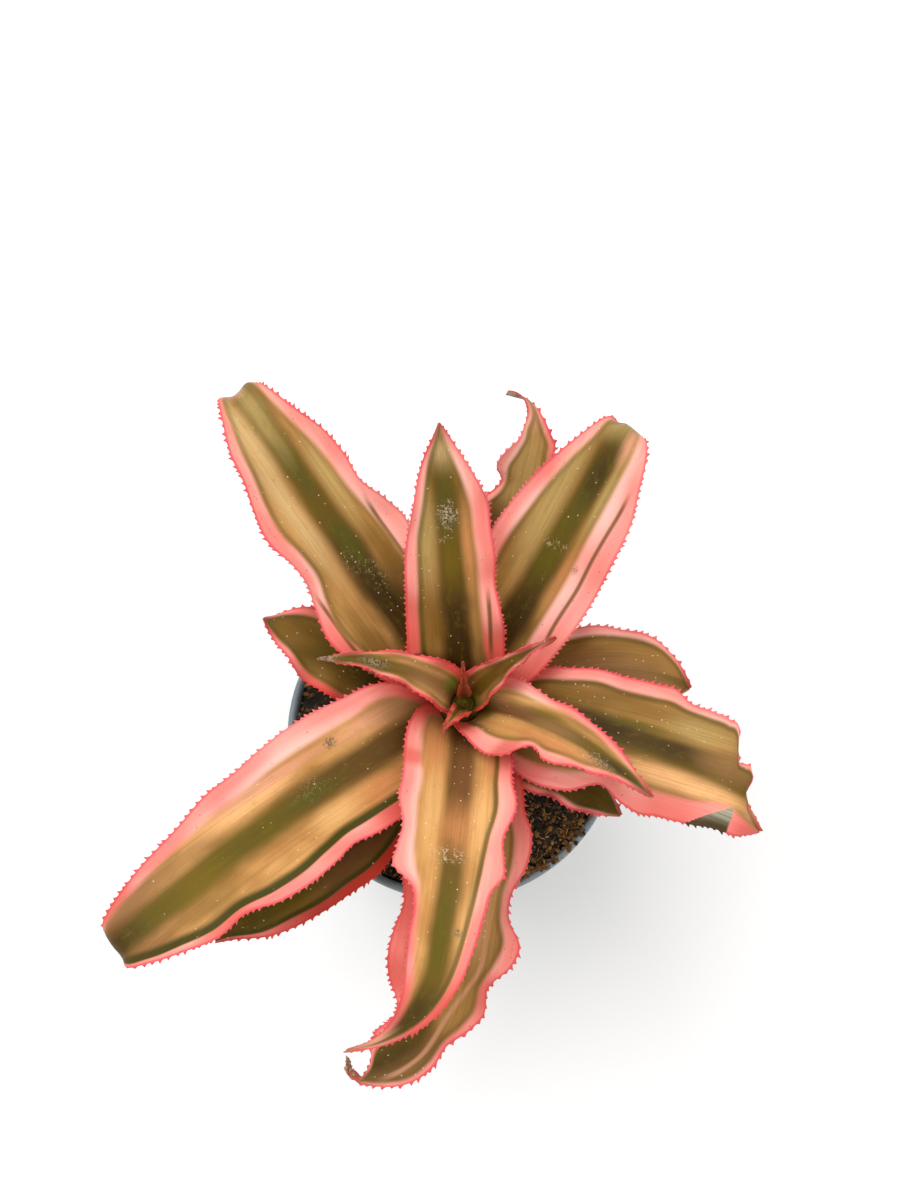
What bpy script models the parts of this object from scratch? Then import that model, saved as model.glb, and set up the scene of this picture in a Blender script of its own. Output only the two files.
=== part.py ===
"""Earth star plant in a small nursery pot.

A flat rosette of wavy, spiny-edged leaves on a short stem, in a round plastic pot full of potting soil.
Each piece is one closed object: the pot, the soil, the stem and seventeen leaves, leaf_01 the oldest.
Metres and degrees, +Z up, with the origin on the table under the middle of the pot.
"""
import math

import bpy
import numpy as np
from mathutils import Vector

MM = 0.001
GAP = 0.0003                # clearance between two pieces that touch

# Nursery pot
POT_HEIGHT = 0.052
RIM_RADIUS = 0.030          # outside of the rolled lip
BASE_RADIUS = 0.0215
POT_WALL = 0.0008
POT_FLOOR = 0.0012
LIP_RADIUS = 0.0007         # radius of the roll
LIP_SKIRT = 0.0022          # how far the lip hangs down outside the wall
BASE_CHAMFER = 0.0008
DRAIN_HOLES = 6
DRAIN_HOLE_RADIUS = 0.0025
DRAIN_RING_RADIUS = 0.0150
POT_SEGMENTS = 48

# Potting soil
SOIL_TOP = 0.0504           # level of the soil at the pot wall
SOIL_HEAP = 0.0022          # height of the heap on the level soil
SOIL_HEAP_X = 0.0115
SOIL_HEAP_Y = -0.0135
SOIL_HEAP_SPREAD = 0.0075
SOIL_HEAP_EDGE = 0.0006     # the heap stops this far short of the soil's rim
SOIL_RINGS = 6

# Stem
STEM_X = 0.002              # the plant stands a little off the middle of its pot
STEM_Y = 0.003
CROWN_Z = 0.0665            # where the youngest leaf starts
ROOT_END_Z = 0.034
ROOT_RADIUS = 0.0045
STEM_SEGMENTS = 24

# How the leaves sit on the stem: each older leaf starts one step lower and further out
LEVEL_DROP = 0.00085
LEVEL_RING = 0.00060
FIRST_RING = 0.0010
SHEATH_HALF_ANGLE = 50.0    # how far round the stem each side of most leaves' base reaches
SHEATH_PITCH = 80.0         # the base climbs the stem before the blade bends out
SHEATH_BEND = 0.0035        # length over which it bends out
SHEATH_OPENING = 0.0050     # length over which its trough opens into the blade

# Leaf blades
LEAF_THICKNESS = 0.0009     # at the midrib
MARGIN_THICKNESS = 0.5      # the margin's thickness as a part of the midrib's
LEAF_ROW_LENGTH = 0.0030
TIP_HALF_WIDTH = 0.0004     # half of the blunt end of the tip
BROAD_BLADE = 5.0           # blades wider than this on one side get more columns, in millimetres

# What a leaf has unless its own line says otherwise
PLAIN_LEAF = {
    "clasp": (SHEATH_HALF_ANGLE, SHEATH_HALF_ANGLE),    # how far its left and right reach round the stem
    "bend": SHEATH_BEND,    # how soon the base bends out
    "droop_power": 1.5,     # 1 droops evenly, more droops towards the tip
    "sweep": 0,             # the blade's even turn to its left, seen from above
    "hook": 0,              # a sharper turn to its left, from hook_at to the tip
    "hook_at": 0.7,
    "flick": 0,             # a quick last turn to its left, beginning at flick_at
    "flick_at": 0.9,
    "curl": 0,              # a recurved tip: how far it rolls down, from curl_at to the tip
    "curl_at": 0.82,
    "twist": 0,             # roll about the midrib, growing towards the tip
    "waves": 4.0,           # ruffles along one margin
    "ruffle": 0.0008,       # their height
    "pushes": (),           # where the tip reaches out: place across, distance and spread, in millimetres
}

# level: place on the stem, 0 the youngest. turn: compass direction. rise: slope where the blade leaves
# the stem. droop: how far that slope has dropped at the tip. cup: how far each half of the blade turns
# up. edges: place along the midrib, then distance to the left and to the right margin, in millimetres;
# a distance below 0 lies on the other side of the midrib.
LEAVES = {
    "leaf_01": {"level": 16, "turn": -32, "length": 0.0245, "rise": 8, "droop": 16, "sweep": -6, "cup": 14,
                "edges": ((8, 6.0, 6.5), (12.5, 5.6, 4.9), (15.5, 4.9, 4.6), (18.5, 3.7, 3.8),
                          (22, 1.8, 1.9))},
    "leaf_02": {"level": 15, "turn": 159, "length": 0.0315, "rise": 12, "droop": 6, "sweep": -6, "cup": 14,
                "edges": ((8, 7.3, 7.0), (14, 7.2, 6.8), (18, 6.6, 6.7), (21, 6.2, 6.4), (25, 3.6, 5.8),
                          (28, 2.2, 3.9), (30.5, 0.7, 1.4))},
    "leaf_03": {"level": 14, "turn": 20, "length": 0.0340, "rise": 14, "droop": 30, "droop_power": 2.5,
                "sweep": -38, "cup": 12,
                "edges": ((8, 8.0, 8.0), (14, 8.6, 8.2), (18, 8.7, 8.2), (22, 8.2, 8.0), (25, 7.5, 7.2),
                          (28, 6.3, 6.0), (31, 4.0, 3.6), (33, 1.5, 1.2))},
    "leaf_04": {"level": 13, "turn": 228, "length": 0.0525, "rise": 10, "droop": 20, "sweep": -10,
                "cup": 16,
                "edges": ((12, 7.6, 7.5), (20, 9.2, 7.5), (25, 9.9, 7.3), (30, 9.0, 6.8), (35, 8.3, 6.0),
                          (40, 7.2, 4.9), (45, 5.1, 3.6), (50, 1.7, 1.5))},
    "leaf_05": {"level": 12, "turn": 74, "length": 0.0550, "rise": 22, "droop": -4, "sweep": 4, "hook": 112,
                "hook_at": 0.82, "cup": 20, "twist": 40,
                "edges": ((14, 7.0, 7.0), (26, 7.0, 6.8), (31, 7.6, 6.3), (33, 5.2, 6.0), (35.5, 3.7, 5.6),
                          (38, 5.6, 5.0), (41, 4.7, 4.5), (43.5, 2.4, 4.1), (45, 1.9, 3.0),
                          (47.5, 1.2, 1.3), (51, 0.7, 0.7))},
    "leaf_06": {"level": 11, "turn": -89, "length": 0.0692, "rise": 14, "droop": 41, "sweep": -22.5,
                "hook": -62, "hook_at": 0.6, "flick": -90, "flick_at": 0.95, "cup": 16,
                "edges": ((8, 10.0, 9.5), (14, 10.8, 10.0), (17, 11.9, 10.2), (22, 11.6, 10.0),
                          (27, 9.5, 9.2), (31, 9.7, 8.6), (35, 12.2, 9.3), (38, 11.4, 9.6), (42, 8.3, 9.2),
                          (46, 8.6, 7.6), (48, 7.4, 6.4), (51, 5.2, 5.0), (54, 5.5, 5.2), (58, 5.1, 5.2),
                          (61, 4.0, 3.4), (62.5, 3.3, 1.0), (64, 2.6, -0.4), (65, 2.2, -1.0),
                          (66, 1.0, 0.2), (67.5, 0.4, 0.4))},
    "leaf_07": {"level": 10, "turn": 129, "length": 0.0690, "rise": 26, "droop": 14, "sweep": -4,
                "curl": 100, "cup": 16, "pushes": ((2.8, 0.4, 1.2), (-2.5, 0.9, 1.5)),
                "edges": ((8, 8.5, 8.5), (14, 11.0, 9.8), (20, 12.4, 10.6), (25, 11.0, 10.8),
                          (30, 9.6, 11.4), (34, 9.8, 10.4), (39, 10.9, 8.6), (45, 9.9, 9.0), (50, 8.5, 8.4),
                          (55, 7.6, 6.5), (60, 5.6, 4.9), (64, 4.0, 4.1), (67, 2.6, 3.0))},
    "leaf_08": {"level": 9, "turn": -14, "length": 0.0520, "rise": 20, "droop": 22, "sweep": -7, "curl": 50,
                "cup": 12, "pushes": ((0.9, 0.8, 0.9), (-2.0, -0.4, 0.8), (-7.2, 0.6, 0.8)),
                "edges": ((8, 9.6, 9.8), (13, 10.2, 11.2), (18, 11.3, 11.0), (23, 10.8, 8.3),
                          (28, 10.9, 10.8), (31, 11.2, 11.6), (34, 9.6, 11.0), (38, 9.0, 10.8),
                          (41, 8.7, 10.6), (43, 7.6, 10.2), (43.8, 4.8, 10.1), (44.5, 2.9, 10.0),
                          (46, 2.6, 9.9), (47.2, 1.9, 9.8), (47.8, -1.4, 9.7), (48.3, -3.2, 9.6),
                          (49.5, -4.6, 9.0), (51, -5.9, 8.2))},
    "leaf_09": {"level": 8, "turn": 213, "length": 0.0745, "rise": 24, "droop": 32, "sweep": 9, "curl": 120,
                "curl_at": 0.89, "cup": 14,
                "edges": ((8, 10.0, 10.8), (16, 11.3, 11.9), (24, 11.2, 12.1), (28, 10.5, 12.1),
                          (33, 11.5, 11.7), (38, 12.0, 10.8), (44, 11.3, 10.4), (50, 9.4, 9.2),
                          (56, 9.8, 8.1), (62, 7.7, 6.8), (67, 5.6, 5.6), (71, 3.2, 4.0))},
    "leaf_10": {"level": 7, "turn": 57, "length": 0.0590, "rise": 32, "droop": 10, "sweep": 3, "curl": 110,
                "cup": 16, "pushes": ((1.4, -1.0, 1.0), (-1.8, -0.2, 1.5)),
                "edges": ((8, 8.4, 8.0), (14, 9.8, 9.2), (20, 10.3, 10.0), (28, 11.0, 10.2),
                          (34, 10.3, 10.0), (40, 9.0, 9.4), (45, 7.3, 8.1), (50, 5.3, 6.6), (54, 3.6, 4.4))},
    "leaf_11": {"level": 6, "turn": -92, "clasp": (50, 90), "length": 0.0705, "rise": 36, "droop": 76,
                "sweep": -12, "hook": -66, "hook_at": 0.62, "cup": 20,
                "edges": ((1.5, 5.5, 9.2), (4, 7.6, 10.2), (9, 8.7, 10.4), (15, 8.8, 10.0), (20, 9.8, 10.2),
                          (25, 8.1, 9.0), (29, 8.6, 9.5), (32, 8.8, 9.6), (34.5, 7.2, 6.4), (38, 6.5, 5.2),
                          (43, 5.7, 5.3), (48, 4.7, 4.9), (53, 3.3, 3.8), (60, 1.4, 1.7), (65, 0.7, 0.7))},
    "leaf_12": {"level": 5, "turn": 97, "length": 0.0548, "rise": 54, "droop": 10, "cup": 22,
                "edges": ((5, 7.2, 7.2), (10, 9.0, 8.0), (17, 8.7, 7.9), (23, 8.3, 7.2), (30, 7.8, 7.5),
                          (35, 6.8, 7.2), (40, 5.6, 7.1), (45, 4.1, 5.5), (50, 2.2, 2.8))},
    "leaf_13": {"level": 4, "turn": -16, "clasp": (50, 110), "length": 0.0385, "rise": 36, "droop": 34,
                "sweep": -30, "cup": 24,
                "edges": ((1.5, 4.0, 7.3), (3.5, 5.2, 7.7), (6, 6.2, 8.8), (10, 5.6, 9.2), (12.5, 4.9, 8.4),
                          (15, 4.5, 4.9), (19, 4.3, 6.0), (22, 3.9, 6.0), (24.5, 3.5, 4.5), (29, 2.5, 3.4),
                          (34, 1.1, 1.5))},
    "leaf_14": {"level": 3, "turn": 153, "clasp": (70, 75), "length": 0.0285, "rise": 45, "droop": 50,
                "bend": 0.0044, "sweep": 30, "cup": 40,
                "edges": ((1.6, 3.8, 4.3), (3, 4.0, 4.8), (6, 3.8, 5.0), (10, 3.0, 3.9), (15, 2.3, 3.0),
                          (20, 1.5, 1.8), (25, 0.7, 0.8))},
    "leaf_15": {"level": 2, "turn": 36, "clasp": (70, 80), "length": 0.0230, "rise": 60, "droop": 40,
                "sweep": -16, "cup": 50,
                "edges": ((1, 2.8, 3.3), (3, 3.5, 3.8), (6, 3.7, 3.5), (10, 2.6, 2.7), (15, 1.4, 1.4),
                          (20, 0.6, 0.6))},
    "leaf_16": {"level": 1, "turn": 236, "length": 0.0076, "rise": 70, "droop": 110, "cup": 50,
                "ruffle": 0.0004,
                "edges": ((2, 2.4, 1.4), (3.5, 2.0, 1.1), (5, 1.1, 0.7), (6.5, 0.5, 0.4))},
    "leaf_17": {"level": 0, "turn": 95, "length": 0.0130, "rise": 76, "droop": 6, "cup": 50,
                "ruffle": 0.0002,
                "edges": ((1.5, 1.4, 1.4), (4, 1.1, 1.1), (6, 0.6, 0.6), (8, 0.35, 0.35), (11, 0.25, 0.25))},
}


def clear_scene():
    """Remove every object that the file starts with."""
    for old in list(bpy.data.objects):
        bpy.data.objects.remove(old, do_unlink=True)


def make_collection(name):
    """A new collection in the scene."""
    collection = bpy.data.collections.new(name)
    bpy.context.scene.collection.children.link(collection)
    return collection


def make_material(name, colour, roughness):
    """A plain material; colour is linear RGB."""
    material = bpy.data.materials.new(name)
    material.use_nodes = True
    principled = material.node_tree.nodes["Principled BSDF"]
    principled.inputs["Base Color"].default_value = (*colour, 1.0)
    principled.inputs["Roughness"].default_value = roughness
    principled.inputs["Metallic"].default_value = 0.0
    material.diffuse_color = (*colour, 1.0)
    return material


def turned(name, profile, segments, collection):
    """A solid of revolution about Z; the (radius, height) profile runs down its outer side, at +X."""
    mesh = bpy.data.meshes.new(name)
    body = bpy.data.objects.new(name, mesh)
    collection.objects.link(body)
    edges = [(i, i + 1) for i in range(len(profile) - 1)]
    mesh.from_pydata([(radius, 0.0, height) for radius, height in profile], edges, [])
    screw = body.modifiers.new("turn", "SCREW")
    screw.steps = segments
    screw.render_steps = segments
    screw.use_merge_vertices = True
    screw.merge_threshold = 0.00001
    return body


def as_mesh(body):
    """Apply the object's modifiers."""
    evaluated = body.evaluated_get(bpy.context.evaluated_depsgraph_get())
    mesh = bpy.data.meshes.new_from_object(evaluated)
    body.modifiers.clear()
    body.data = mesh
    return body


def cut(body, cutter):
    """Take the cutter's shape out of the body."""
    boolean = body.modifiers.new("cut_" + cutter.name, "BOOLEAN")
    boolean.operation = "DIFFERENCE"
    boolean.object = cutter
    cutter.hide_render = True
    cutter.display_type = "WIRE"


def shade(body, angle):
    """Smooth shading, with edges sharper than the angle left crisp."""
    body.data.shade_smooth()
    body.data.set_sharp_from_angle(angle=math.radians(angle))


# ---------------------------------------------------------------- nursery pot

def inner_radius(height):
    """Inside radius of the pot's tapered wall."""
    top = RIM_RADIUS - 2 * LIP_RADIUS
    bottom = BASE_RADIUS - POT_WALL
    return bottom + (top - bottom) * height / POT_HEIGHT


def make_pot(parts, cutters):
    """A thin tapered pot: rolled lip with a short skirt, flat floor and a ring of drain holes."""
    roll_centre = RIM_RADIUS - LIP_RADIUS
    roll_height = POT_HEIGHT - LIP_RADIUS
    profile = []
    for step in range(7):
        angle = math.pi * (1 - step / 6)
        radius = roll_centre + LIP_RADIUS * math.cos(angle)
        profile.append((radius, roll_height + LIP_RADIUS * math.sin(angle)))
    skirt_bottom = POT_HEIGHT - LIP_RADIUS - LIP_SKIRT
    profile.append((RIM_RADIUS, skirt_bottom))
    profile.append((inner_radius(skirt_bottom) + POT_WALL, skirt_bottom))
    profile.append((BASE_RADIUS, BASE_CHAMFER))
    profile.append((BASE_RADIUS - BASE_CHAMFER, 0.0))
    profile.append((0.0, 0.0))
    profile.append((0.0, POT_FLOOR))
    profile.append((inner_radius(POT_FLOOR), POT_FLOOR))
    profile.append(profile[0])
    pot = as_mesh(turned("nursery_pot", profile, POT_SEGMENTS, parts))
    for hole in range(DRAIN_HOLES):
        angle = 2 * math.pi * hole / DRAIN_HOLES
        centre = (DRAIN_RING_RADIUS * math.cos(angle), DRAIN_RING_RADIUS * math.sin(angle), POT_FLOOR / 2)
        bpy.ops.mesh.primitive_cylinder_add(
            vertices=16, radius=DRAIN_HOLE_RADIUS, depth=3 * POT_FLOOR, location=centre)
        cutter = bpy.context.object
        cutter.name = f"drain_hole_{hole + 1}"
        move_to(cutter, cutters)
        cut(pot, cutter)
    shade(pot, 40)
    pot.data.materials.append(make_material("pot_plastic", (0.10, 0.12, 0.16), 0.5))


def move_to(body, collection):
    """Put the object in this collection alone."""
    for other in list(body.users_collection):
        other.objects.unlink(body)
    collection.objects.link(body)


# ---------------------------------------------------------------- stem and soil

def stem_profile(clearance):
    """Half outline of the stem, grown by the clearance: the cone of leaf bases, then the root end."""
    lowest = max(leaf["level"] for leaf in LEAVES.values())
    inside = GAP + LEAF_THICKNESS / 2
    shoulder = FIRST_RING + LEVEL_RING * lowest - inside
    shoulder_z = CROWN_Z - LEVEL_DROP * lowest
    return [
        (0.0, CROWN_Z + clearance),
        (FIRST_RING - inside + clearance, CROWN_Z + clearance),
        (shoulder + clearance, shoulder_z),
        (shoulder + clearance, shoulder_z - 0.0008),
        (0.65 * shoulder + clearance, shoulder_z - 0.0035),
        (ROOT_RADIUS + clearance, shoulder_z - 0.0075),
        (0.7 * ROOT_RADIUS + clearance, ROOT_END_Z + 0.0015 - clearance),
        (0.0, ROOT_END_Z - clearance),
    ]


def make_stem(parts):
    """The squat stem that the leaf bases clasp."""
    stem = turned("stem", stem_profile(0.0), STEM_SEGMENTS, parts)
    stem.location = (STEM_X, STEM_Y, 0.0)
    shade(stem, 50)
    stem.data.materials.append(make_material("stem_flesh", (0.16, 0.12, 0.05), 0.7))


def heap_height(x, y):
    """How far the soil is heaped above its level, fading out at the pot wall."""
    away = (x - SOIL_HEAP_X) ** 2 + (y - SOIL_HEAP_Y) ** 2
    wall = inner_radius(SOIL_TOP) - GAP
    fade = min(1.0, (wall - math.hypot(x, y)) / SOIL_HEAP_EDGE)
    return max(0.0, fade) * SOIL_HEAP * math.exp(-away / (2 * SOIL_HEAP_SPREAD ** 2))


def make_soil(parts, cutters):
    """The plug of soil, level with the lip, heaped on one side, with a socket for the stem."""
    floor = POT_FLOOR + GAP
    rim = inner_radius(SOIL_TOP) - GAP
    profile = [(rim * ring / SOIL_RINGS, SOIL_TOP) for ring in range(SOIL_RINGS)]
    profile.append((rim - SOIL_HEAP_EDGE, SOIL_TOP))
    profile.append((rim, SOIL_TOP))
    profile.append((inner_radius(floor) - GAP, floor))
    profile.append((0.0, floor))
    soil = as_mesh(turned("potting_soil", profile, POT_SEGMENTS, parts))
    for vertex in soil.data.vertices:
        if vertex.co.z > SOIL_TOP - GAP:
            vertex.co.z += heap_height(vertex.co.x, vertex.co.y)
    socket = turned("stem_socket", stem_profile(GAP), STEM_SEGMENTS, cutters)
    socket.location = (STEM_X, STEM_Y, 0.0)
    cut(soil, socket)
    shade(soil, 40)
    soil.data.materials.append(make_material("peat", (0.022, 0.013, 0.008), 0.95))


# ---------------------------------------------------------------- leaves

def ease(start, end, value):
    """0 before start, 1 after end, and a smooth step between them."""
    part = min(1.0, max(0.0, (value - start) / (end - start)))
    return part * part * (3 - 2 * part)


def base_ring(leaf):
    """Distance from the stem's axis to the leaf's base."""
    return FIRST_RING + LEVEL_RING * leaf["level"]


def slope(leaf, along):
    """The midrib's climb at this part of its length: up the stem, out, then down to the tip."""
    sheath = (SHEATH_PITCH - leaf["rise"]) * math.exp(-along * leaf["length"] / leaf["bend"])
    droop = leaf["droop"] * along ** leaf["droop_power"]
    curl = leaf["curl"] * ease(leaf["curl_at"], 1.0, along)
    return math.radians(leaf["rise"] + sheath - droop - curl)


def heading(leaf, along):
    """The midrib's compass direction at this part of its length."""
    hook = leaf["hook"] * ease(leaf["hook_at"], 1.0, along)
    flick = leaf["flick"] * ease(leaf["flick_at"], 0.5 + 0.5 * leaf["flick_at"], along)
    return math.radians(leaf["turn"] + leaf["sweep"] * along + hook + flick)


def smooth_through(stations, values, where):
    """Height at this place of a smooth curve through the values given at the stations."""
    grades = np.gradient(values, stations)
    first = min(max(int(np.searchsorted(stations, where, side="right")) - 1, 0), len(stations) - 2)
    gap = stations[first + 1] - stations[first]
    part = (where - stations[first]) / gap
    start = (1 + 2 * part) * values[first] + part * gap * grades[first]
    end = (3 - 2 * part) * values[first + 1] - (1 - part) * gap * grades[first + 1]
    return float((1 - part) ** 2 * start + part ** 2 * end)


def margin_reach(leaf, along, side):
    """Distance round the curve from the midrib to the left margin, where side is 1, or to the right, -1."""
    column = 1 if side > 0 else 2
    values = [edge[column] * MM for edge in leaf["edges"]]
    clasp = min(base_ring(leaf) * math.radians(leaf["clasp"][column - 1]), values[0])
    _, left, right = leaf["edges"][-1]
    aside = side * (left - right) / 2 * MM
    stations = [0.0] + [edge[0] * MM for edge in leaf["edges"]] + [leaf["length"]]
    return smooth_through(stations, [clasp] + values + [TIP_HALF_WIDTH + aside], along * leaf["length"])


def blade_span(leaf, along):
    """Half the blade's width, and how far its middle lies to the left of the midrib."""
    left = margin_reach(leaf, along, 1)
    right = max(margin_reach(leaf, along, -1), 2 * TIP_HALF_WIDTH - left)
    return (left + right) / 2, (left - right) / 2


def cross_bend(leaf, along, across_blade):
    """Curvature of the cross-section on this side of the midrib: the stem's own, opening into the blade's."""
    opening = math.exp(-along * leaf["length"] / SHEATH_OPENING)
    clasp = leaf["clasp"][0 if across_blade > 0 else 1]
    cup = math.radians(leaf["cup"] + (clasp - leaf["cup"]) * opening)
    half_width, middle = blade_span(leaf, along)
    own_reach = half_width + middle if across_blade > 0 else half_width - middle
    return cup / (opening * own_reach + (1 - opening) * (half_width + abs(middle)))


def ruffle(leaf, along, side):
    """Rise and fall of one margin; the left one lags behind the right."""
    lag = 100 if side > 0 else 0
    wave = math.sin(math.radians(360 * leaf["waves"] * along + lag))
    return leaf["ruffle"] * ease(0.03, 0.3, along) * wave


def midrib(leaf, rows):
    """Points along the midrib, one for each row of the blade."""
    turn = math.radians(leaf["turn"])
    ring = base_ring(leaf)
    point = Vector((STEM_X + ring * math.cos(turn), STEM_Y + ring * math.sin(turn),
                    CROWN_Z - LEVEL_DROP * leaf["level"]))
    points = [point.copy()]
    fine_steps = 4
    step = leaf["length"] / rows / fine_steps
    for fine in range(rows * fine_steps):
        along = (fine + 0.5) / (rows * fine_steps)
        point += step * direction(slope(leaf, along), heading(leaf, along))
        if fine % fine_steps == fine_steps - 1:
            points.append(point.copy())
    return points


def direction(climb, compass):
    """Unit vector that climbs at one angle and points along another."""
    return Vector((math.cos(climb) * math.cos(compass), math.cos(climb) * math.sin(compass), math.sin(climb)))


def tip_push(leaf, along, across_blade):
    """How far this part of the rolled tip reaches out beyond the rest."""
    push = 0.0
    for at, amount, spread in leaf["pushes"]:
        push += amount * MM * math.exp(-((across_blade / MM - at) / spread) ** 2)
    return push * ease(0.84, 0.96, along)


def blade_point(leaf, centre, along, side):
    """A point of the blade's sheet; side is -1 at the right margin and 1 at the left."""
    climb = slope(leaf, along)
    compass = heading(leaf, along)
    across = Vector((-math.sin(compass), math.cos(compass), 0.0))
    upward = direction(climb + math.pi / 2, compass)
    roll = math.radians(leaf["twist"]) * along ** 2
    left = math.cos(roll) * across + math.sin(roll) * upward
    top = math.cos(roll) * upward - math.sin(roll) * across
    half_width, middle = blade_span(leaf, along)
    across_blade = middle + side * half_width
    bend = cross_bend(leaf, along, across_blade)
    out = math.sin(bend * across_blade) / bend
    lift = (1 - math.cos(bend * across_blade)) / bend
    lift += ruffle(leaf, along, side) * abs(side) ** 2.5
    return centre + out * left + lift * top + tip_push(leaf, along, across_blade) * direction(0.0, compass)


def make_leaf(name, shape, parts):
    """A thin curved blade: a grid bent to the leaf's shape, thickened on both sides."""
    leaf = {**PLAIN_LEAF, **shape}
    rows = max(8, round(leaf["length"] / LEAF_ROW_LENGTH))
    columns = 6 if max(edge[1] for edge in leaf["edges"]) > BROAD_BLADE else 4
    bpy.ops.mesh.primitive_grid_add(x_subdivisions=rows, y_subdivisions=columns, size=2)
    blade = bpy.context.object
    blade.name = name
    move_to(blade, parts)
    centres = midrib(leaf, rows)
    thickness = blade.vertex_groups.new(name="thickness")
    for vertex in blade.data.vertices:
        along = (vertex.co.x + 1) / 2
        side = vertex.co.y
        half_width, _ = blade_span(leaf, along)
        share = 1 - (1 - MARGIN_THICKNESS) * side ** 2
        share *= min(1.0, 0.7 * half_width / LEAF_THICKNESS)
        thickness.add([vertex.index], max(MARGIN_THICKNESS, share), "REPLACE")
        vertex.co = blade_point(leaf, centres[round(along * rows)], along, side)
    solidify = blade.modifiers.new("thickness", "SOLIDIFY")
    solidify.thickness = LEAF_THICKNESS
    solidify.offset = 0.0
    solidify.vertex_group = "thickness"
    shade(blade, 60)
    blade.data.materials.append(make_material(name + "_skin", (0.30, 0.17, 0.07), 0.45))


def main():
    """Build the whole plant in its pot."""
    clear_scene()
    parts = make_collection("earth_star_plant")
    cutters = make_collection("cutters")
    make_pot(parts, cutters)
    make_soil(parts, cutters)
    make_stem(parts)
    for name, shape in LEAVES.items():
        make_leaf(name, shape, parts)


main()
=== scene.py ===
"""The looks of an earth star plant in its nursery pot."""
import math

import bpy
import numpy as np
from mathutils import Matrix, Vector, noise


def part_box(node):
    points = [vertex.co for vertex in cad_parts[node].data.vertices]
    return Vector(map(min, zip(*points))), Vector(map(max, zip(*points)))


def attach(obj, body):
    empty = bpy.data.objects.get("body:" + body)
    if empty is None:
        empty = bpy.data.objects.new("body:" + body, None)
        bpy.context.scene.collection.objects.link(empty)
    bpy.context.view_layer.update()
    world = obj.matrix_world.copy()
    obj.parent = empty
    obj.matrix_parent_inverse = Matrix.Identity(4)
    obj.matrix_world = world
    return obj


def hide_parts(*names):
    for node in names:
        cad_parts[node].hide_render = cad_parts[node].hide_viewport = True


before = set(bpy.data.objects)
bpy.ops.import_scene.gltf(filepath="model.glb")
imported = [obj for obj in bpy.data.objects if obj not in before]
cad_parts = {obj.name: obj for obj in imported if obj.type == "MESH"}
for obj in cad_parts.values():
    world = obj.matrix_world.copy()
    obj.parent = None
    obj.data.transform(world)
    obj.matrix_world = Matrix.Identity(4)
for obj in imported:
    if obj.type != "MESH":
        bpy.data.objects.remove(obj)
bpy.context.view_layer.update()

# ---------------------------------------------------------------- Nursery pot
# A thin round pot of dull blue-grey plastic, pressed in a mould with a rolled lip and a short stacking step.
# It carries the whole plant and stands on its flat base, which has a ring of drain holes.

pot_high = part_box("nursery_pot")[1]
POT_HEIGHT = pot_high[2]
RIM_RADIUS = pot_high[0]
BASE_RADIUS = 0.0215
LIP_RADIUS = 0.0007
LIP_SKIRT = 0.0022
POT_WALL = 0.0008
POT_FLOOR = 0.0012
STACKING_STEP = 0.0004
STACKING_DEPTH = 0.0045
FLOOR_RING = 0.0120
FLOOR_MIDDLE = 0.0008
DRAIN_HOLES = 6
DRAIN_HOLE_RADIUS = 0.0025
DRAIN_RING_RADIUS = 0.0150


def srgb(red, green, blue):
    """A colour given as 0 to 255, made linear."""
    linear = []
    for value in (red, green, blue):
        part = value / 255
        linear.append(part / 12.92 if part <= 0.04045 else ((part + 0.055) / 1.055) ** 2.4)
    return (*linear, 1.0)


def primitive(name, add, **settings):
    """Add one of Blender's primitives under its own name, with nothing else selected."""
    bpy.ops.object.select_all(action="DESELECT")
    add(**settings)
    body = bpy.context.object
    body.name = name
    body.data.name = name
    return body


def round_shape(name, profile, segments, centre=(0, 0)):
    """A closed round shape: a ring of edges drawn out through a list of (radius, height) steps."""
    (radius, height), *steps = profile
    body = primitive(name, bpy.ops.mesh.primitive_circle_add, vertices=segments, radius=radius,
                     location=(0, 0, height))
    bpy.ops.object.transform_apply(location=True, rotation=True, scale=True)
    bpy.ops.object.mode_set(mode="EDIT")
    bpy.ops.mesh.select_all(action="SELECT")
    for to_radius, to_height in steps:
        bpy.ops.mesh.extrude_region_move(TRANSFORM_OT_translate={"value": (0, 0, to_height - height)})
        grow = to_radius / radius
        bpy.ops.transform.resize(value=(grow, grow, 1), center_override=(0, 0, to_height))
        radius, height = to_radius, to_height
    bpy.ops.mesh.select_all(action="SELECT")
    bpy.ops.mesh.fill_holes(sides=0)
    bpy.ops.transform.translate(value=(*centre, 0))
    bpy.ops.mesh.select_all(action="SELECT")
    bpy.ops.mesh.remove_doubles(threshold=0.000002)
    bpy.ops.mesh.normals_make_consistent(inside=False)
    bpy.ops.object.mode_set(mode="OBJECT")
    return body


def inner_radius(height):
    """Inside radius of the pot's tapered wall."""
    top = RIM_RADIUS - 2 * LIP_RADIUS
    bottom = BASE_RADIUS - POT_WALL
    return bottom + (top - bottom) * height / POT_HEIGHT


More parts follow.
